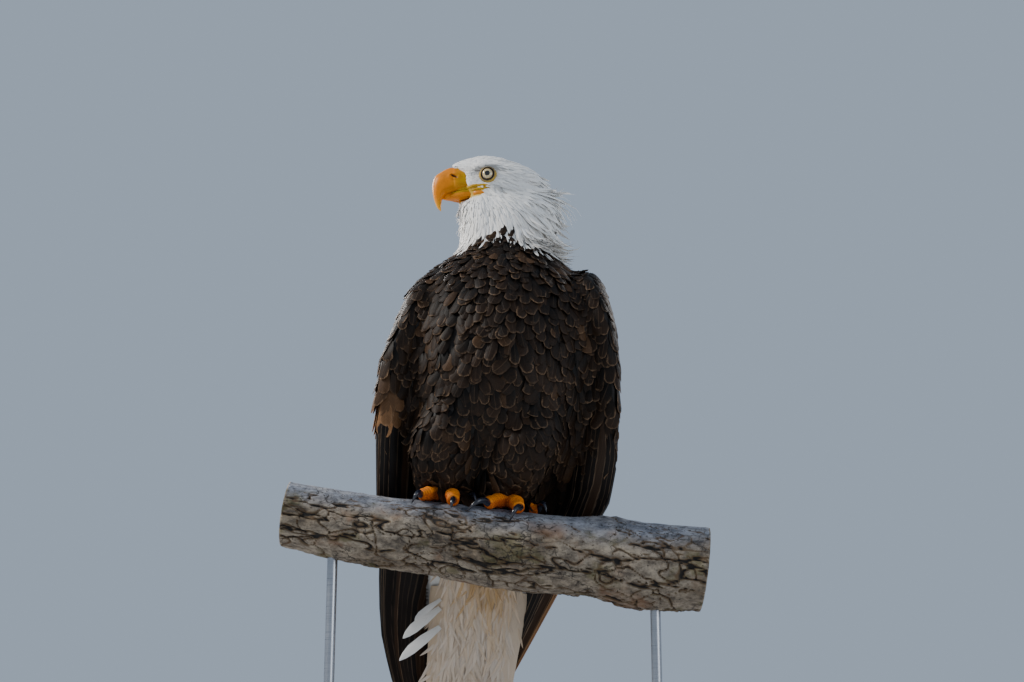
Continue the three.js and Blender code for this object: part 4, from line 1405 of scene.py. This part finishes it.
# Darker, browner cream in the middle, just under the limb: partly stain, partly painted shade of the limb.
stain_and_limb_shade = np.exp(-(((local[:, 0] - 6) / 26) ** 2)) * np.clip((local[:, 2] + 60) / 50, 0, 1)
marks = {
    "tint": chance.random(len(roots)),
    "cream": np.clip(0.5 + 0.22 * chance.random(len(roots)) + 0.4 * stain_and_limb_shade, 0, 1),
    "grey": np.zeros(len(roots)),
}
vane_pieces("feathers_vent", POINTED_VANE, points, uv, marks, white_finish)
print("tail coverts:", len(roots), "feathers")

# Two loose ones stick out on the right, beside the tail: root, tip, half width.
LOOSE = [((-48, 108, -66), (-88, 92, -108), 6.5), ((-46, 114, -88), (-90, 98, -134), 6.5), ((-48, 104, -56), (-76, 90, -86), 4)]
loose = []
for root, tip, half in LOOSE:
    root, run = np.array(root, float), np.subtract(tip, root)
    along, across = POINTED_VANE.along[POINTED_VANE.row][:, None], POINTED_VANE.across[:, None]
    aside = unit(np.cross(run, [0, 1, 0]))
    reach = half * POINTED_VANE.width[POINTED_VANE.row][:, None]
    sag = np.array([-6, 0, -4]) * np.sin(math.pi * along)
    loose.append(root + run * along + sag + aside * reach * across + [0, 0.25, 0] * POINTED_VANE.high[:, None])
loose = out_of(bird_frame, np.array(loose))
marks = {name: np.full(len(loose), value) for name, value in {"tint": 0.8, "cream": 0.12, "grey": 0.0}.items()}
vane_pieces("feathers_loose", POINTED_VANE, loose, nearest_uv(loose[:, 0]), marks, white_finish)

# %% [markdown]
# ## The bill
# An eagle's bill is as deep as it is long, rounded along its ridge, and ends in a hook that hangs well below the
# lower half. Its base is wrapped in the cere, a softer yellow skin with the nostril's slit in its front. The
# mouth's line runs back from it under the eye, between two fleshy lips. The upper bill is a straight tube again,
# and its sections stand between a curve along the ridge and one along the cutting edge.

# %% Bill curves
# Points ahead of the eyes and above them, in mm.
RIDGE = [(22, 13.5), (34, 15.6), (46.6, 16.9), (58.9, 10.3), (65.2, 4.4), (68, -6.5), (66.6, -20.5), (62.2, -33.6), (57.2, -39.6)]
CUTTING = [(18, -14.6), (28, -15.6), (38, -17.4), (47, -18.9), (52, -20.2), (55.6, -24), (56.6, -30), (57, -35.6), (56.8, -39.4)]
UPPER_WIDTHS = [(0, 15.6), (0.2, 15.0), (0.36, 12.6), (0.6, 9.6), (0.84, 5.6), (0.95, 2.6), (1, 0.5)]


def in_nostril(ahead_by, up):
    """1 in the nostril's slit, which slants down and back, 0 outside."""
    slant = math.radians(31)
    along = (ahead_by - 41.5) * math.cos(slant) + (up - 1.7) * math.sin(slant)
    over = -(ahead_by - 41.5) * math.sin(slant) + (up - 1.7) * math.cos(slant)
    return np.clip(1.5 - np.hypot(along / 4.6, over / 1.15) ** 2, 0, 1)


upper_mesh, angle, t = tube(120, 110)
t = t**1.05
ridge_at, cutting_at = curve_through(RIDGE, t), curve_through(CUTTING, t)
middle, half = (ridge_at + cutting_at) / 2, (ridge_at - cutting_at) / 2
wide = np.interp(t, *np.array(UPPER_WIDTHS).T)
rise = np.cos(angle)
section = np.where(rise > 0, (1 - np.abs(rise) ** 2.1) ** 0.5, (1 - np.abs(rise) ** 5) ** (1 / 2.6))
section = np.where(np.abs(rise) > 0.9999, 0, section) * np.sign(np.sin(angle))
flat = middle + half * rise[:, None]
aside = wide * section
ahead_by, up = flat[:, 0], flat[:, 1]
# The cere swells a little over the horn in front of it, and a groove parts them.
cere_edge = 42.5 + 0.10 * (up - 2) - 0.004 * (up + 2) ** 2
cere = np.clip((cere_edge - ahead_by) / 2.2 + 0.5, 0, 1)
groove = np.exp(-(((ahead_by - cere_edge) / 1.1) ** 2))
nostril = in_nostril(ahead_by, up) * (np.abs(aside) > 5)
push = 0.55 * cere - 0.3 * groove * (up > -14) - 2.2 * nostril
push += 0.5 * np.exp(-((np.hypot((ahead_by - 41.5) / 6.5, (up - 1.7) / 3.6) - 1) ** 2) / 0.08) * (np.abs(aside) > 5)
aside = aside + np.sign(aside) * push * np.clip(np.abs(aside) / 6, 0, 1)
put_points(upper_mesh, out_of(head_frame, np.stack([aside, -ahead_by, up], -1)))
outward(upper_mesh)
print("upper bill from", round(float(ahead_by.min())), "to", round(float(ahead_by.max())), "mm ahead of the eyes")


# %% Bill finish
def add_marks(mesh, **marks):
    for name, values in marks.items():
        layer = mesh.attributes.new(name, "FLOAT", "POINT")
        layer.data.foreach_set("value", np.asarray(values, np.float32))


def start_bill_finish(name, front, back, mouth):
    """Horn: a painted highlight along the ridge and a painted glow at the tip, deeper in front, browner to the mouth.
    """
    finish = Finish(name, Roughness=0.42, Specular_IOR_Level=0.22)
    mottle = finish.noise(95, 4, roughness=0.6)
    color = finish.mix(finish.attribute("back"), linear(*front), linear(*back))
    color = finish.mix(finish.maths("MULTIPLY", finish.attribute("low"), 0.75), color, linear(*mouth))
    # The ridge attribute paints a bright highlight along the ridge and a glow through the tip.
    color = finish.mix(finish.attribute("ridge"), color, linear(228, 162, 30))
    color = finish.mix(finish.maths("MULTIPLY", finish.step(mottle, 0.45, 0.75), 0.4), color, linear(*[c * 0.8 for c in mouth]))
    color = finish.mix(finish.attribute("slit"), color, linear(52, 14, 6))
    finish.color(color)
    finish.roughness(finish.add("MapRange", [mottle, 0.3, 0.7, 0.32, 0.5]))
    finish.bump(finish.noise(300, 3), 0.0003, 0.4)
    return finish


bill_finish = start_bill_finish("bill_horn", (212, 122, 0), (184, 138, 2), (176, 104, 0))
# Painted light: a highlight along the ridge's top, and a glow through the hook's tip.
ridge_highlight = np.clip((rise - 0.86) / 0.12, 0, 1) * np.clip((ahead_by - 44) / 14, 0, 1)
tip_glow = np.clip((-24 - up) / 12, 0, 1)
add_marks(
    upper_mesh,
    back=np.clip((46 - ahead_by - 0.35 * up) / 16, 0, 1),
    low=np.clip((-5 - up) / 9, 0, 1) * np.clip((58 - ahead_by) / 12, 0, 1),
    ridge=np.maximum(0.85 * ridge_highlight, 0.8 * tip_glow),
    slit=np.clip(nostril * 1.6, 0, 1),
)
add_piece("bill_ridge_half", upper_mesh, bill_finish.material, ["bill_upper"])

# %% Lower bill
# Distance ahead, top, bottom and half width, in mm.
LOWER_ROWS = [(10, -14.5, -24.2, 14.4), (22, -14.8, -24.8, 12.6), (32, -15.2, -25, 10.8), (42, -16, -25, 8.4)]
LOWER_ROWS += [(51, -17.8, -24.6, 5.6), (55.6, -20.4, -23.6, 1.4)]
lower_mesh, angle, t = tube(64, 60)
rows_at = curve_through(LOWER_ROWS, t**0.85)
rise = np.cos(angle)
section = np.where(rise < 0, (1 - np.abs(rise) ** 2.2) ** 0.5, (1 - np.abs(rise) ** 5) ** 0.35)
section = np.where(np.abs(rise) > 0.9999, 0, section) * np.sign(np.sin(angle))
up = (rows_at[:, 1] + rows_at[:, 2]) / 2 + rise * (rows_at[:, 1] - rows_at[:, 2]) / 2
put_points(lower_mesh, out_of(head_frame, np.stack([rows_at[:, 3] * section, -rows_at[:, 0], up], -1)))
outward(lower_mesh)
# On the lower bill the ridge attribute is a faint painted highlight towards its front.
add_marks(
    lower_mesh,
    back=np.clip((40 - rows_at[:, 0]) / 30, 0, 1) * 0.6,
    low=np.clip((up + 20) / 3, 0, 1),
    ridge=np.clip((rows_at[:, 0] - 46) / 8, 0, 1) * 0.3,
    slit=np.zeros(len(up)),
)
add_piece("bill_lower_half", lower_mesh, bill_finish.material, ["bill_lower"])

# %% Lips of the gape
# Each lip's way from the bill to the corner under the eye: distance ahead, height, and radius, in mm.
UPPER_LIP = [(38, -14.8, 1.0), (30, -13.6, 2.3), (20, -12.4, 2.3), (10, -12.6, 1.9), (2, -13.3, 1.5), (-8.5, -15.0, 0.35)]
LOWER_LIP = [(44, -18.6, 0.8), (34, -17.8, 1.7), (22, -16.7, 1.8), (12, -16.4, 1.7), (3, -16.2, 1.2), (-8, -15.4, 0.3)]
JAW = [(46, -21.4, 1.8), (34, -20.9, 2.9), (24, -20.7, 3.1), (15, -21, 2.9), (8, -21.9, 2.1), (3, -23.2, 0.6)]
BILL_SIDE = ([8, 18, 30, 38, 46], [0, 13.2, 12.2, 10.2, 7.0])  # distance ahead, and how far out the lips are at least


def skin_aside(points, way):
    """How far out the skin is at the head's side, for places ahead and up in mm."""
    out = []
    for ahead_by, up in points:
        start, to = head_frame @ Vector((way * 60 * MM, -ahead_by * MM, up * MM)), turned(head_frame, [-way, 0, 0])
        hit = skin_tree.ray_cast(start, Vector(to), 0.08)
        out.append(60 - hit[3] / MM if hit[3] is not None else 12)
    return np.array(out)


lip_meshes, lip_low, lip_back = [], [], []
for way in (1, -1):
    for lip in (UPPER_LIP, LOWER_LIP, JAW):
        lip_mesh, angle, t = tube(14, 36)
        places = np.linspace(0, 1, 37)
        path = curve_through(lip, places)
        out = smooth_values(skin_aside(path[:, :2], way), np.stack([np.arange(36), np.arange(1, 37)], -1), 8)
        out = np.maximum(np.where(path[:, 0] > 26, 0, out), np.interp(path[:, 0], *BILL_SIDE))
        center = np.stack([way * out, -path[:, 0], path[:, 1]], -1)
        at = np.stack([np.interp(t, places, center[:, i]) for i in range(3)], -1)
        radius = np.interp(t, places, path[:, 2])
        at[:, 0] += way * (0.45 if lip is JAW else 0.75) * radius * np.cos(angle)
        at[:, 2] += radius * np.sin(angle)
        put_points(lip_mesh, out_of(head_frame, at))
        lip_meshes.append(outward(lip_mesh))
        lip_back.append(np.full(len(at), 0.1 if lip is JAW else 1.0))
        lip_low.append(np.zeros(len(at)))
lips = joined("lips", lip_meshes)
add_marks(lips, back=np.concatenate(lip_back), low=np.concatenate(lip_low), ridge=np.zeros(len(lips.vertices)), slit=np.zeros(len(lips.vertices)))
lip_finish = start_bill_finish("gape_skin", (204, 118, 0), (182, 140, 4), (150, 100, 4))
add_piece("gape_lips", lips, lip_finish.material)

# %% [markdown]
# ## The eyes
# Each eye is a ball deep in the head. Of it the lids show a disc: a black pupil in a pale cream iris, then a very
# dark ring. Bare yellow skin lies round the lids, and their top is painted darker, partly as the brow's shade and
# partly as dark skin.

# %% Eyes and lids
eye_finish = Finish("eye_ball", Roughness=0.12, Coat_Weight=1.0, Coat_Roughness=0.02)
off_axis = eye_finish.attribute("off_axis")
fibres = eye_finish.noise(900, 2)
iris = eye_finish.mix(eye_finish.step(fibres, 0.35, 0.7), linear(184, 160, 108), linear(234, 218, 172))
iris = eye_finish.mix(eye_finish.step(off_axis, 0.5, 0.64), iris, linear(146, 112, 62))
eye_color = eye_finish.mix(eye_finish.step(off_axis, 0.3, 0.33), linear(4, 4, 5), iris)
eye_color = eye_finish.mix(eye_finish.step(off_axis, 0.63, 0.67), eye_color, linear(14, 9, 7))
eye_finish.color(eye_color)

lid_finish = Finish("eye_lid", Roughness=0.45)
lid_noise = lid_finish.noise(260, 3)
lid_color = lid_finish.mix(lid_noise, linear(134, 104, 30), linear(204, 166, 58))
lid_color = lid_finish.mix(lid_finish.attribute("dim"), lid_color, linear(112, 98, 66))
lid_color = lid_finish.mix(lid_finish.attribute("rim"), lid_color, linear(22, 14, 10))
lid_finish.color(lid_color)
lid_finish.bump(lid_noise, 0.0004, 0.5)

LID_OPENING, LID_REACH, LID_DROOP = 8.0, 12.4, math.radians(5)
for way, side in ((1, "left"), (-1, "right")):
    axis = Vector((way * math.cos(EYE_TURN), -math.sin(EYE_TURN), -math.sin(LID_DROOP))).normalized()
    to_axis = Vector((0, 0, 1)).rotation_difference(axis).to_matrix().to_4x4()
    eye_frame = head_frame @ Matrix.Translation((way * EYE_ASIDE * MM, 0, 0)) @ to_axis
    ball = bmesh.new()
    bmesh.ops.create_uvsphere(ball, u_segments=64, v_segments=48, radius=EYE_RADIUS * MM)
    ball_mesh = bpy.data.meshes.new("ball")
    ball.to_mesh(ball_mesh)
    ball.free()
    local = mesh_points(ball_mesh)
    out = np.hypot(local[:, 0], local[:, 1]) / MM
    # The clear front of the eye bulges a little.
    local[:, 2] += np.where(local[:, 2] > 0, 0.9 * MM * np.exp(-((out / 6.2) ** 4)), 0)
    add_marks(ball_mesh, off_axis=np.where(local[:, 2] > 0, out, 12) / 10)
    put_points(ball_mesh, out_of(eye_frame, local / MM))
    add_piece(f"eye_ball_{side}", ball_mesh, eye_finish.material, [f"eye_{side}"])

    # The lids: a ring whose section is a thin wedge from the opening out under the feathers.
    lid_mesh, angle, t = tube(72, 16, caps=False)
    section_round = t * 2 * math.pi
    over = np.cos(section_round) * 0.5 + 0.5  # 1 at the opening
    thick = 0.65 * np.sin(section_round)
    out = LID_REACH + (LID_OPENING - LID_REACH) * over
    around_at = out * (1 - 0.07 * np.sin(angle) ** 2)  # a little less high than long
    on_ball = 8.9  # where the lid leaves the ball and dives under the feathers
    ball_height = np.sqrt(EYE_RADIUS**2 - np.minimum(around_at, on_ball) ** 2) - np.clip(around_at - on_ball, 0, 9) * 2.0
    height = ball_height + 0.6 + thick + 0.5 * np.exp(-((out - LID_OPENING) ** 2) / 0.8)
    put_points(lid_mesh, np.stack([around_at * np.sin(angle), around_at * np.cos(angle), height], -1) * MM)
    seam = bmesh.new()
    seam.from_mesh(lid_mesh)
    bmesh.ops.remove_doubles(seam, verts=seam.verts, dist=1e-6)
    bmesh.ops.recalc_face_normals(seam, faces=seam.faces)
    seam.to_mesh(lid_mesh)
    seam.free()
    local = mesh_points(lid_mesh) / MM
    out = np.hypot(local[:, 0], local[:, 1])
    put_points(lid_mesh, out_of(eye_frame, local))
    # The skin is yellowest before the eye and above it, and behind and below.
    in_face = into(head_frame, mesh_points(lid_mesh))
    slant = (-in_face[:, 1] + in_face[:, 2]) / 13
    # Painted shade under the brow: the top of the lids is darkened, partly for the brow's shadow and partly for dark
    # skin.
    brow_shade_and_dark_skin = 0.55 * np.clip((in_face[:, 2] - 7.2) / 1.2, 0, 1)
    add_marks(
        lid_mesh,
        rim=np.maximum(np.clip((8.9 - out) / 0.5, 0, 1), brow_shade_and_dark_skin),
        dim=np.clip(0.6 - 1.2 * slant**2, 0, 1),
    )
    add_piece(f"eye_lids_{side}", lid_mesh, lid_finish.material)

# %% [markdown]
# ## The limb
# The perch is a cut length of an old limb. Where the light falls on it, its bark is smooth and blue-grey, partly
# weathered bark and partly painted skylight; below, it is broken into long plates with brown furrows. The plates
# come from a Voronoi pattern stretched along the limb: where the two nearest cells are equally near, there is a
# crack. The relief is cut into the mesh itself.

# %% Make the limb
from mathutils import noise as noise_of

LIMB_HALF = 245
limb_mesh, angle, t = tube(176, 270)
turned_by = np.degrees(angle)
along = (t * 2 - 1) * LIMB_HALF
end_gap = 0.35
along_in = np.clip(along, -LIMB_HALF + end_gap, LIMB_HALF - end_gap)
surface = over_limb(along_in, turned_by, 0)


def limb_noise(size, octaves, seed=0.0):
    """Fractal noise on the limb's surface: size is the pattern's size in mm, along and across the limb."""
    cell = surface / np.array([size[0], size[1], size[1]]) + seed
    return np.array([noise_of.fractal(Vector(p), 0.85, 2.0, octaves) for p in cell])


under_side = np.clip((np.abs(turned_by + 12) - 50) / 60, 0, 1)
lumps = limb_noise((70, 46), 3)
fine = limb_noise((13, 7), 4, 31)
# Long furrows run where a stretched noise crosses zero, and thin cracks part the plates between them.
furrow = np.clip(1 - np.abs(limb_noise((120, 25), 4, 7)) / (0.035 + 0.06 * under_side), 0, 1)
furrow *= np.clip(0.5 + 1.4 * under_side + 1.6 * limb_noise((60, 40), 2, 13), 0, 1)
cell = surface / np.array([46, 30, 30])
shifted = [Vector(p) + 0.55 * noise_of.noise_vector(Vector(p) * 1.6) for p in cell]
parting = np.array([d[0][1] - d[0][0] for d in map(noise_of.voronoi, shifted)])
thin = np.clip(1 - parting / 0.055, 0, 1) * np.clip(0.25 + 1.1 * under_side + 1.2 * lumps, 0, 1)
crack = np.maximum(furrow**0.8, 0.8 * thin)
rough_parts = np.clip(limb_noise((90, 40), 2, 57) * 2.2 - 0.1, 0, 1) * (0.3 + 0.7 * under_side)
# Old bark has swollen into a knot at the right.
knot = np.exp(-(((along - 128) / 30) ** 2) - ((turned_by - 8) / 30) ** 2)
near_feet = np.exp(-(((along + 22) / 75) ** 4)) * np.clip(1.4 - np.abs(turned_by - 5) / 60, 0, 1)
relief = -3.6 * crack * (0.4 + 0.6 * under_side) + fine * (0.35 + 0.9 * under_side + 2.2 * rough_parts + 2 * knot)
relief += 3.4 * lumps * (0.4 + 0.6 * under_side) + 4.5 * knot - 1.2
relief = relief * (1 - 0.8 * near_feet) - 0.2 * near_feet
at_end = np.clip((np.abs(along) - LIMB_HALF + 3) / 3, 0, 1)
relief = relief * (1 - 0.6 * at_end) - 1.2 * at_end**2
away = unit(surface - np.stack([surface[:, 0], 0 * surface[:, 0], limb_middle(surface[:, 0])], -1))
limb_points = surface + away * relief[:, None]
limb_points[:, 0] = along
put_points(limb_mesh, out_of(limb_frame, limb_points))
outward(limb_mesh)
# The cut ends are inset in rings, so that a flat rim of bark runs round the cut wood.
ends = bmesh.new()
ends.from_mesh(limb_mesh)
caps = [face for face in ends.faces if len(face.verts) > 10]
bmesh.ops.inset_region(ends, faces=caps, thickness=0.003, depth=0.0, use_even_offset=True)
caps = [face for face in ends.faces if len(face.verts) > 10]
for face in caps:
    face.material_index = 1
ends.to_mesh(limb_mesh)
ends.free()
pad = len(limb_mesh.vertices) - len(crack)
add_marks(
    limb_mesh,
    crack=np.concatenate([crack, np.zeros(pad)]),
    under=np.concatenate([under_side, np.ones(pad)]),
    rough=np.concatenate([np.maximum(rough_parts, 0.8 * knot), np.zeros(pad)]),
)
print("limb relief from", round(float(relief.min()), 1), "to", round(float(relief.max()), 1), "mm")

# %% Bark and cut wood
bark = Finish("bark", Roughness=0.85)
in_crack, under = bark.attribute("crack"), bark.attribute("under")
spots = bark.add("Mapping", {"Vector": bark.place(), "Scale": (1, 1.6, 1.6)}, vector_type="POINT")
grain = bark.noise(75, 8, spots, 0.7)
pits = bark.noise(260, 5, spots, 0.65)
patches = bark.noise(14, 5, roughness=0.6)
lichen = bark.noise(24, 4, spots)
crazed = bark.add("Mix", {0: 0.05, 4: spots, 5: bark.noise(40, 4, spots, output=1)}, 1, data_type="VECTOR")
crazing = bark.add("TexVoronoi", {"Vector": crazed, "Scale": 34}, feature="DISTANCE_TO_EDGE")
hairline = bark.maths("SUBTRACT", 1, bark.step(crazing, 0.004, 0.03))
hairline = bark.maths("MULTIPLY", hairline, bark.step(bark.noise(19, 3), 0.42, 0.6))
# The top's blue-grey is partly weathered bark and partly painted cool skylight, where the light falls on the limb.
top_bark_and_skylight = bark.mix(bark.step(grain, 0.3, 0.7), linear(74, 79, 90), linear(146, 150, 160))
top_bark_and_skylight = bark.mix(bark.maths("MULTIPLY", bark.step(patches, 0.5, 0.65), 0.6), top_bark_and_skylight, linear(160, 160, 162))
top_bark_and_skylight = bark.mix(bark.step(pits, 0.57, 0.64), top_bark_and_skylight, linear(26, 27, 33))
earthward = bark.mix(bark.step(grain, 0.3, 0.7), linear(84, 74, 64), linear(158, 146, 128))
earthward = bark.mix(bark.maths("MULTIPLY", bark.step(patches, 0.52, 0.66), 0.65), earthward, linear(116, 76, 42))
earthward = bark.mix(bark.step(pits, 0.58, 0.68), earthward, linear(44, 34, 27))
height_share = bark.maths("ADD", under, bark.maths("MULTIPLY_ADD", patches, 0.9, -0.45))
bark_color = bark.mix(bark.step(height_share, 0.05, 0.75), top_bark_and_skylight, earthward)
rough_bark = bark.mix(bark.step(grain, 0.35, 0.65), linear(38, 31, 26), linear(112, 96, 76))
bark_color = bark.mix(bark.maths("MULTIPLY", bark.attribute("rough"), 0.75), bark_color, rough_bark)
moss = bark.maths("MULTIPLY", bark.step(lichen, 0.56, 0.68), bark.step(under, 0.02, 0.2))
bark_color = bark.mix(bark.maths("MULTIPLY", moss, 0.55), bark_color, linear(84, 78, 36))
beside = bark.mix(grain, linear(96, 62, 34), linear(66, 60, 30))
bark_color = bark.mix(bark.maths("MULTIPLY", bark.step(in_crack, 0.02, 0.4), 0.8), bark_color, beside)
bark_color = bark.mix(bark.step(in_crack, 0.35, 0.75), bark_color, linear(18, 14, 11))
bark_color = bark.mix(bark.maths("MULTIPLY", hairline, 0.8), bark_color, linear(34, 27, 22))
bark.color(bark_color)
bark.bump(bark.maths("SUBTRACT", bark.maths("MULTIPLY_ADD", pits, 0.5, grain), hairline), 0.0024, 0.9)

cut_wood = Finish("cut_wood", Roughness=0.7)
to_limb = limb_frame.inverted().to_euler()
centered = cut_wood.add("Mapping", {"Vector": cut_wood.place(), "Location": tuple(-v for v in limb_frame.translation)})
straight = cut_wood.add("Mapping", {"Vector": centered, "Rotation": tuple(to_limb)})
rings = cut_wood.add(
    "TexWave", {"Vector": straight, "Scale": 95, "Distortion": 2.2, "Detail": 3, "Detail Scale": 0.4},
    1, wave_type="RINGS", rings_direction="X", wave_profile="SAW",
)
wood_color = cut_wood.mix(rings, linear(150, 112, 72), linear(206, 172, 124))
wood_color = cut_wood.mix(cut_wood.maths("MULTIPLY", cut_wood.noise(240, 4), 0.5), wood_color, linear(122, 90, 60))
cut_wood.color(wood_color)
cut_wood.bump(rings, 0.0004, 0.4)
limb_piece = add_piece("perch_bark", limb_mesh, bark.material, ["perch_limb"])
limb_mesh.materials.append(cut_wood.material)

# %% [markdown]
# ## The stand
# A museum would carry the limb on two plain steel rods from a flat wooden base. The base is a cube made flat,
# with rounded corners and a small bevel; the rods are round bars.

# %% Base and rods
base_box = np.array(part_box("stand_base"))
base = bmesh.new()
bmesh.ops.create_cube(base, size=1)
bmesh.ops.scale(base, verts=base.verts, vec=tuple(base_box[1] - base_box[0]))
bmesh.ops.translate(base, verts=base.verts, vec=tuple(base_box.mean(axis=0)))
upright_edges = [e for e in base.edges if abs(e.verts[0].co.z - e.verts[1].co.z) > 0.01]
bmesh.ops.bevel(base, geom=upright_edges, offset=24 * MM, affect="EDGES", segments=14, profile=0.5, material=-1)
rim_edges = [e for e in base.edges if abs(e.verts[0].co.z - e.verts[1].co.z) < 1e-6]
bmesh.ops.bevel(base, geom=rim_edges, offset=2 * MM, affect="EDGES", segments=4, profile=0.5, material=-1)
base_mesh = bpy.data.meshes.new("base")
base.to_mesh(base_mesh)
base.free()

walnut = Finish("stand_walnut", Roughness=0.36, Coat_Weight=0.25, Coat_Roughness=0.2)
stretched = walnut.add("Mapping", {"Vector": walnut.place(), "Scale": (1.2, 12, 12)})
figure = walnut.noise(5, 6, stretched, 0.6)
pores = walnut.add("Mapping", {"Vector": walnut.place(), "Scale": (10, 260, 260)})
pore_lines = walnut.noise(3, 3, pores, 0.6)
walnut_color = walnut.ramp(figure, [(0.3, linear(38, 24, 16)), (0.5, linear(70, 44, 28)), (0.7, linear(98, 64, 40))])
walnut_color = walnut.mix(walnut.maths("MULTIPLY", walnut.step(pore_lines, 0.55, 0.75), 0.5), walnut_color, linear(26, 16, 11))
walnut.color(walnut_color)
walnut.roughness(walnut.add("MapRange", [figure, 0.3, 0.7, 0.3, 0.46]))
walnut.bump(pore_lines, 0.0001, 0.3)
base_piece = add_piece("stand_base_board", base_mesh, walnut.material, ["stand_base"])
base_mesh.set_sharp_from_angle(angle=math.radians(40))

steel = Finish("stand_steel", Metallic=1.0, Roughness=0.34, Base_Color=linear(176, 178, 182))
brushed = steel.add("Mapping", {"Vector": steel.place(), "Scale": (1, 1, 60)})
brush_lines = steel.noise(28, 4, brushed, 0.6)
steel.color(steel.mix(brush_lines, linear(150, 152, 157), linear(196, 198, 202)))
steel.roughness(steel.add("MapRange", [brush_lines, 0.3, 0.7, 0.26, 0.42]))
steel.bump(brush_lines, 0.00005, 0.3)
for side in ("left", "right"):
    low, high = np.array(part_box("stand_rod_" + side))
    rod = bmesh.new()
    radius = (high - low)[0] / 2
    bmesh.ops.create_cone(rod, cap_ends=True, segments=40, radius1=radius, radius2=radius, depth=(high - low)[2])
    bmesh.ops.translate(rod, verts=rod.verts, vec=tuple((low + high) / 2))
    rod_mesh = bpy.data.meshes.new("rod")
    rod.to_mesh(rod_mesh)
    rod.free()
    add_piece(f"stand_bar_{side}", rod_mesh, steel.material, [f"stand_rod_{side}"])
    rod_mesh.set_sharp_from_angle(angle=math.radians(40))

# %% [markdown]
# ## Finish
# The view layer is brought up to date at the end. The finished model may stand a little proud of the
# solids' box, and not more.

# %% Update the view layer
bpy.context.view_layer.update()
